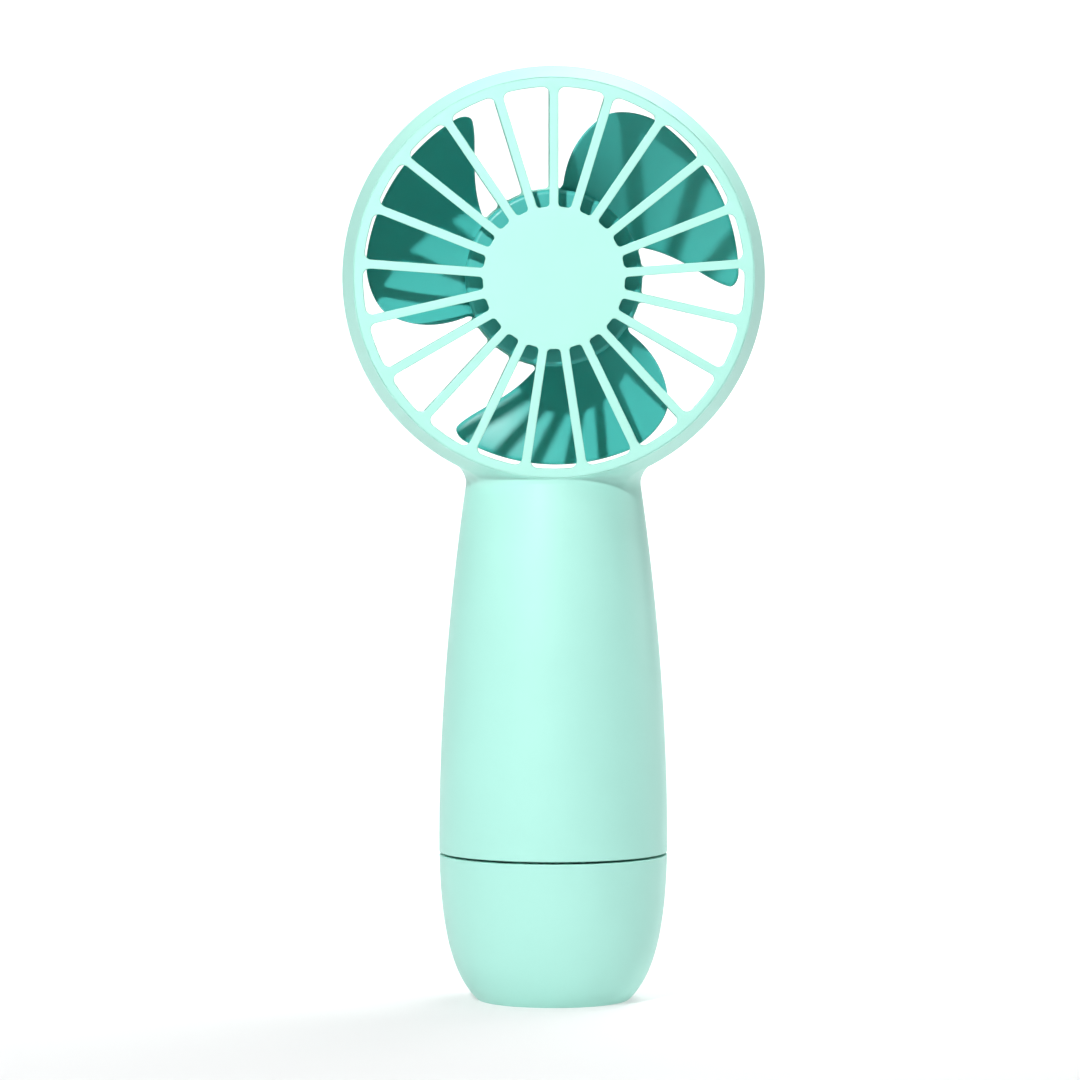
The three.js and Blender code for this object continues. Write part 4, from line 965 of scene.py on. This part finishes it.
def moulded_plastic(name, colour, roughness, grain):
    """Satin moulded plastic: a fine grain, a faint flow of tone and uneven gloss from handling."""
    material, nodes, links, shader = new_material(name)
    place = nodes.new("ShaderNodeTexCoord").outputs["Object"]
    tone = spread(nodes, links, noise(nodes, links, place, 38.0), 0.0, 1.0)
    dark = tuple(channel * 0.98 for channel in colour)
    light = tuple(min(channel * 1.015, 1.0) for channel in colour)
    links.new(mixed_colour(nodes, links, tone, dark, light), shader.inputs["Base Color"])
    smudge = noise(nodes, links, place, 95.0, 5.0, 0.6)
    gloss = spread(nodes, links, smudge, roughness - 0.035, roughness + 0.035)
    links.new(gloss, shader.inputs["Roughness"])
    fine = noise(nodes, links, place, 5200.0, 2.0, 0.5)
    bump = nodes.new("ShaderNodeBump")
    bump.inputs["Strength"].default_value = grain
    bump.inputs["Distance"].default_value = 0.00003
    links.new(fine, bump.inputs["Height"])
    links.new(bump.outputs["Normal"], shader.inputs["Normal"])
    shader.inputs["IOR"].default_value = 1.46
    return material


def metal(name, colour, roughness, stretch):
    """Bare metal with fine drawn lines and patches of duller surface."""
    material, nodes, links, shader = new_material(name)
    place = nodes.new("ShaderNodeTexCoord").outputs["Object"]
    mapping = nodes.new("ShaderNodeMapping")
    mapping.inputs["Scale"].default_value = stretch
    links.new(place, mapping.inputs["Vector"])
    tone = spread(nodes, links, noise(nodes, links, place, 300.0), 0.0, 1.0)
    dark = tuple(channel * 0.86 for channel in colour)
    links.new(mixed_colour(nodes, links, tone, dark, colour), shader.inputs["Base Color"])
    lines = noise(nodes, links, mapping.outputs["Vector"], 1800.0, 4.0)
    links.new(spread(nodes, links, lines, roughness - 0.08, roughness + 0.1), shader.inputs["Roughness"])
    bump = nodes.new("ShaderNodeBump")
    bump.inputs["Strength"].default_value = 0.12
    bump.inputs["Distance"].default_value = 0.00002
    links.new(lines, bump.inputs["Height"])
    links.new(bump.outputs["Normal"], shader.inputs["Normal"])
    shader.inputs["Metallic"].default_value = 1.0
    return material


def clear_plastic():
    """The diffusing window over the light: milky, with a little of what is behind it."""
    material = moulded_plastic("clear_window", (0.80, 0.93, 0.90), 0.18, 0.02)
    shader = material.node_tree.nodes["Principled BSDF"]
    shader.inputs["Transmission Weight"].default_value = 0.35
    return material


def board_material():
    """Solder mask with the faint lines of tracks beneath it."""
    material, nodes, links, shader = new_material("solder_mask")
    place = nodes.new("ShaderNodeTexCoord").outputs["Object"]
    tracks = nodes.new("ShaderNodeTexBrick")
    tracks.inputs["Scale"].default_value = 420.0
    tracks.inputs["Color1"].default_value = (0.012, 0.11, 0.05, 1)
    tracks.inputs["Color2"].default_value = (0.015, 0.13, 0.06, 1)
    tracks.inputs["Mortar"].default_value = (0.03, 0.20, 0.09, 1)
    tracks.inputs["Mortar Size"].default_value = 0.06
    mapping = nodes.new("ShaderNodeMapping")
    mapping.inputs["Rotation"].default_value = (math.pi / 2, 0, 0)
    links.new(place, mapping.inputs["Vector"])
    links.new(mapping.outputs["Vector"], tracks.inputs["Vector"])
    links.new(tracks.outputs["Color"], shader.inputs["Base Color"])
    dull = noise(nodes, links, place, 150.0)
    links.new(spread(nodes, links, dull, 0.3, 0.42), shader.inputs["Roughness"])
    return material


MINT = (0.42, 0.81, 0.71)
TEAL = (0.07, 0.46, 0.43)

MATERIALS = {
    "mint_plastic": moulded_plastic("mint_satin", MINT, 0.42, 0.05),
    "teal_plastic": moulded_plastic("teal_satin", TEAL, 0.36, 0.05),
    "white_plastic": moulded_plastic("white_inner", (0.75, 0.77, 0.76), 0.5, 0.08),
    "black_plastic": moulded_plastic("black_inner", (0.02, 0.02, 0.022), 0.45, 0.08),
    "clear_plastic": clear_plastic(),
    "green_board": board_material(),
    "steel": metal("plated_steel", (0.62, 0.63, 0.65), 0.3, (1, 8, 1)),
    "brass": metal("plain_brass", (0.72, 0.50, 0.20), 0.3, (1, 6, 1)),
    "copper_winding": metal("copper_wire", (0.60, 0.24, 0.10), 0.3, (10, 1, 10)),
    "ferrite": moulded_plastic("sintered", (0.05, 0.05, 0.055), 0.7, 0.3),
    "cell_wrap": moulded_plastic("shrink_wrap", (0.03, 0.14, 0.38), 0.28, 0.04),
    "red_wire": moulded_plastic("red_insulation", (0.42, 0.015, 0.015), 0.35, 0.05),
    "black_wire": moulded_plastic("black_insulation", (0.015, 0.015, 0.015), 0.35, 0.05),
    "grey_rubber": moulded_plastic("soft_rubber", (0.10, 0.20, 0.18), 0.75, 0.35),
}


def dress(obj, slot):
    obj.data.materials.clear()
    obj.data.materials.append(MATERIALS[slot])
    return obj


# ---- Placing the pieces ----

SLOT_OF = {row["node"]: row["material_slot"] for row in frame["record"]["subparts"]}

for node, obj in frame["nodes"].items():
    obj.data.materials.clear()
    obj.data.materials.append(MATERIALS[SLOT_OF[node]])
    shade(obj, 35)


def stand_for(obj, body, node):
    """Dresses a piece in its node's material and shows it in the node's place, riding on the body."""
    dress(obj, SLOT_OF[node])
    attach(obj, body)
    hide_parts(node)
    return obj


stand_for(shell(), "handle", "main_shell")
stand_for(guard("front_guard", FRONT, SLOT_INNER_RADIUS), "handle", "front_grille")
stand_for(guard("rear_guard", REAR, REAR_DISC_RADIUS, MOTOR_CUP_BORE), "handle", "rear_grille")
stand_for(motor_cover(), "handle", "motor_cover")
for part in (skirt("front_skirt", FRONT), rear_skirt(), motor_cup()):
    dress(part, "mint_plastic")
    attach(part, "handle")
stand_for(impeller(), "rotor", "impeller")
stand_for(bottom_cap(), "cap", "bottom_cap")
stand_for(foot_pad(), "cap", "foot_pad")
stand_for(cap_seal(), "seal", "cap_seal")
stand_for(power_button(), "button", "power_button")
stand_for(light_pipe(), "handle", "light_pipe")
stand_for(charging_port(), "handle", "charging_port")
stand_for(motor_lead("red_lead", 1), "handle", "motor_wire_red")
stand_for(motor_lead("black_lead", -1), "handle", "motor_wire_black")

# ---- Studio ----


def floor():
    """A pale sheet that curves up behind the object and glows white there, and faintly elsewhere."""
    width, front, back, height, bend = 6.0, -6.0, 1.6, 3.2, 0.8
    outline = [(front, 0.0), (back - bend, 0.0)]
    for k in range(1, 13):
        angle = math.pi / 2 * k / 12
        outline.append((back - bend + bend * math.sin(angle), bend * (1 - math.cos(angle))))
    outline.append((back, height))
    points = [(side * width / MM, y / MM, z / MM) for y, z in outline for side in (-1, 1)]
    faces = [(2 * i, 2 * i + 1, 2 * i + 3, 2 * i + 2) for i in range(len(outline) - 1)]
    made = make("studio_sheet", points, faces, 60)
    material, nodes, links, shader = new_material("studio_white")
    place = nodes.new("ShaderNodeTexCoord").outputs["Object"]
    from_middle = nodes.new("ShaderNodeVectorMath")
    from_middle.operation = "DISTANCE"
    from_middle.inputs[1].default_value = (0, 1.17, 0.09)
    links.new(place, from_middle.inputs[0])
    glow = nodes.new("ShaderNodeMapRange")
    glow.interpolation_type = "SMOOTHSTEP"
    glow.inputs["From Min"].default_value = 0.9
    glow.inputs["From Max"].default_value = 1.47
    glow.inputs["To Min"].default_value = 0.8
    glow.inputs["To Max"].default_value = 0.08
    links.new(from_middle.outputs["Value"], glow.inputs["Value"])
    links.new(glow.outputs["Result"], shader.inputs["Emission Strength"])
    shader.inputs["Base Color"].default_value = (0.48, 0.485, 0.485, 1)
    shader.inputs["Roughness"].default_value = 0.9
    shader.inputs["Emission Color"].default_value = (1, 1, 1, 1)
    made.data.materials.append(material)
    return made


def lamp(name, location, size, power):
    """A round soft lamp that points at the middle of the head."""
    target = Vector((0, 0, HEAD_Z * MM))
    light = bpy.data.lights.new(name, "AREA")
    light.shape = "DISK"
    light.size = size
    light.energy = power
    obj = bpy.data.objects.new(name, light)
    obj.location = location
    obj.rotation_mode = "QUATERNION"
    obj.rotation_quaternion = (target - Vector(location)).to_track_quat("-Z", "Y")
    bpy.context.scene.collection.objects.link(obj)
    return obj


def sky(strength):
    """A faint even light from all round."""
    world = bpy.data.worlds.new("studio_sky")
    bpy.context.scene.world = world
    world.use_nodes = True
    background = world.node_tree.nodes["Background"]
    background.inputs["Color"].default_value = (0.97, 0.99, 1.0, 1)
    background.inputs["Strength"].default_value = strength


def camera():
    """Level with the head, a little to its left, and tipped down, with a long lens."""
    distance, sideways = 1.2, -0.008
    tip, swing = math.radians(2.59), math.radians(0.25)
    data = bpy.data.cameras.new("camera")
    data.sensor_width = 36
    data.lens = 193.2
    data.clip_end = 20
    obj = bpy.data.objects.new("camera", data)
    obj.location = (sideways, -distance, HEAD_Z * MM)
    ahead = Vector((math.sin(swing), math.cos(swing) * math.cos(tip), -math.sin(tip)))
    obj.rotation_mode = "QUATERNION"
    obj.rotation_quaternion = ahead.to_track_quat("-Z", "Y")
    bpy.context.scene.collection.objects.link(obj)
    bpy.context.scene.camera = obj


floor()
lamp("key", (-0.21, -0.58, 0.46), 0.035, 4.4)
lamp("front_soft", (-0.7, -1.3, 0.9), 0.9, 1.2)
lamp("top", (0.25, -0.2, 1.4), 0.8, 5.0)
lamp("top_behind", (0.35, 0.5, 1.2), 0.9, 13.0)
lamp("right_behind", (1.2, 0.5, 0.3), 0.6, 2.5)
sky(0.06)
camera()
bpy.context.scene.view_settings.view_transform = "Standard"
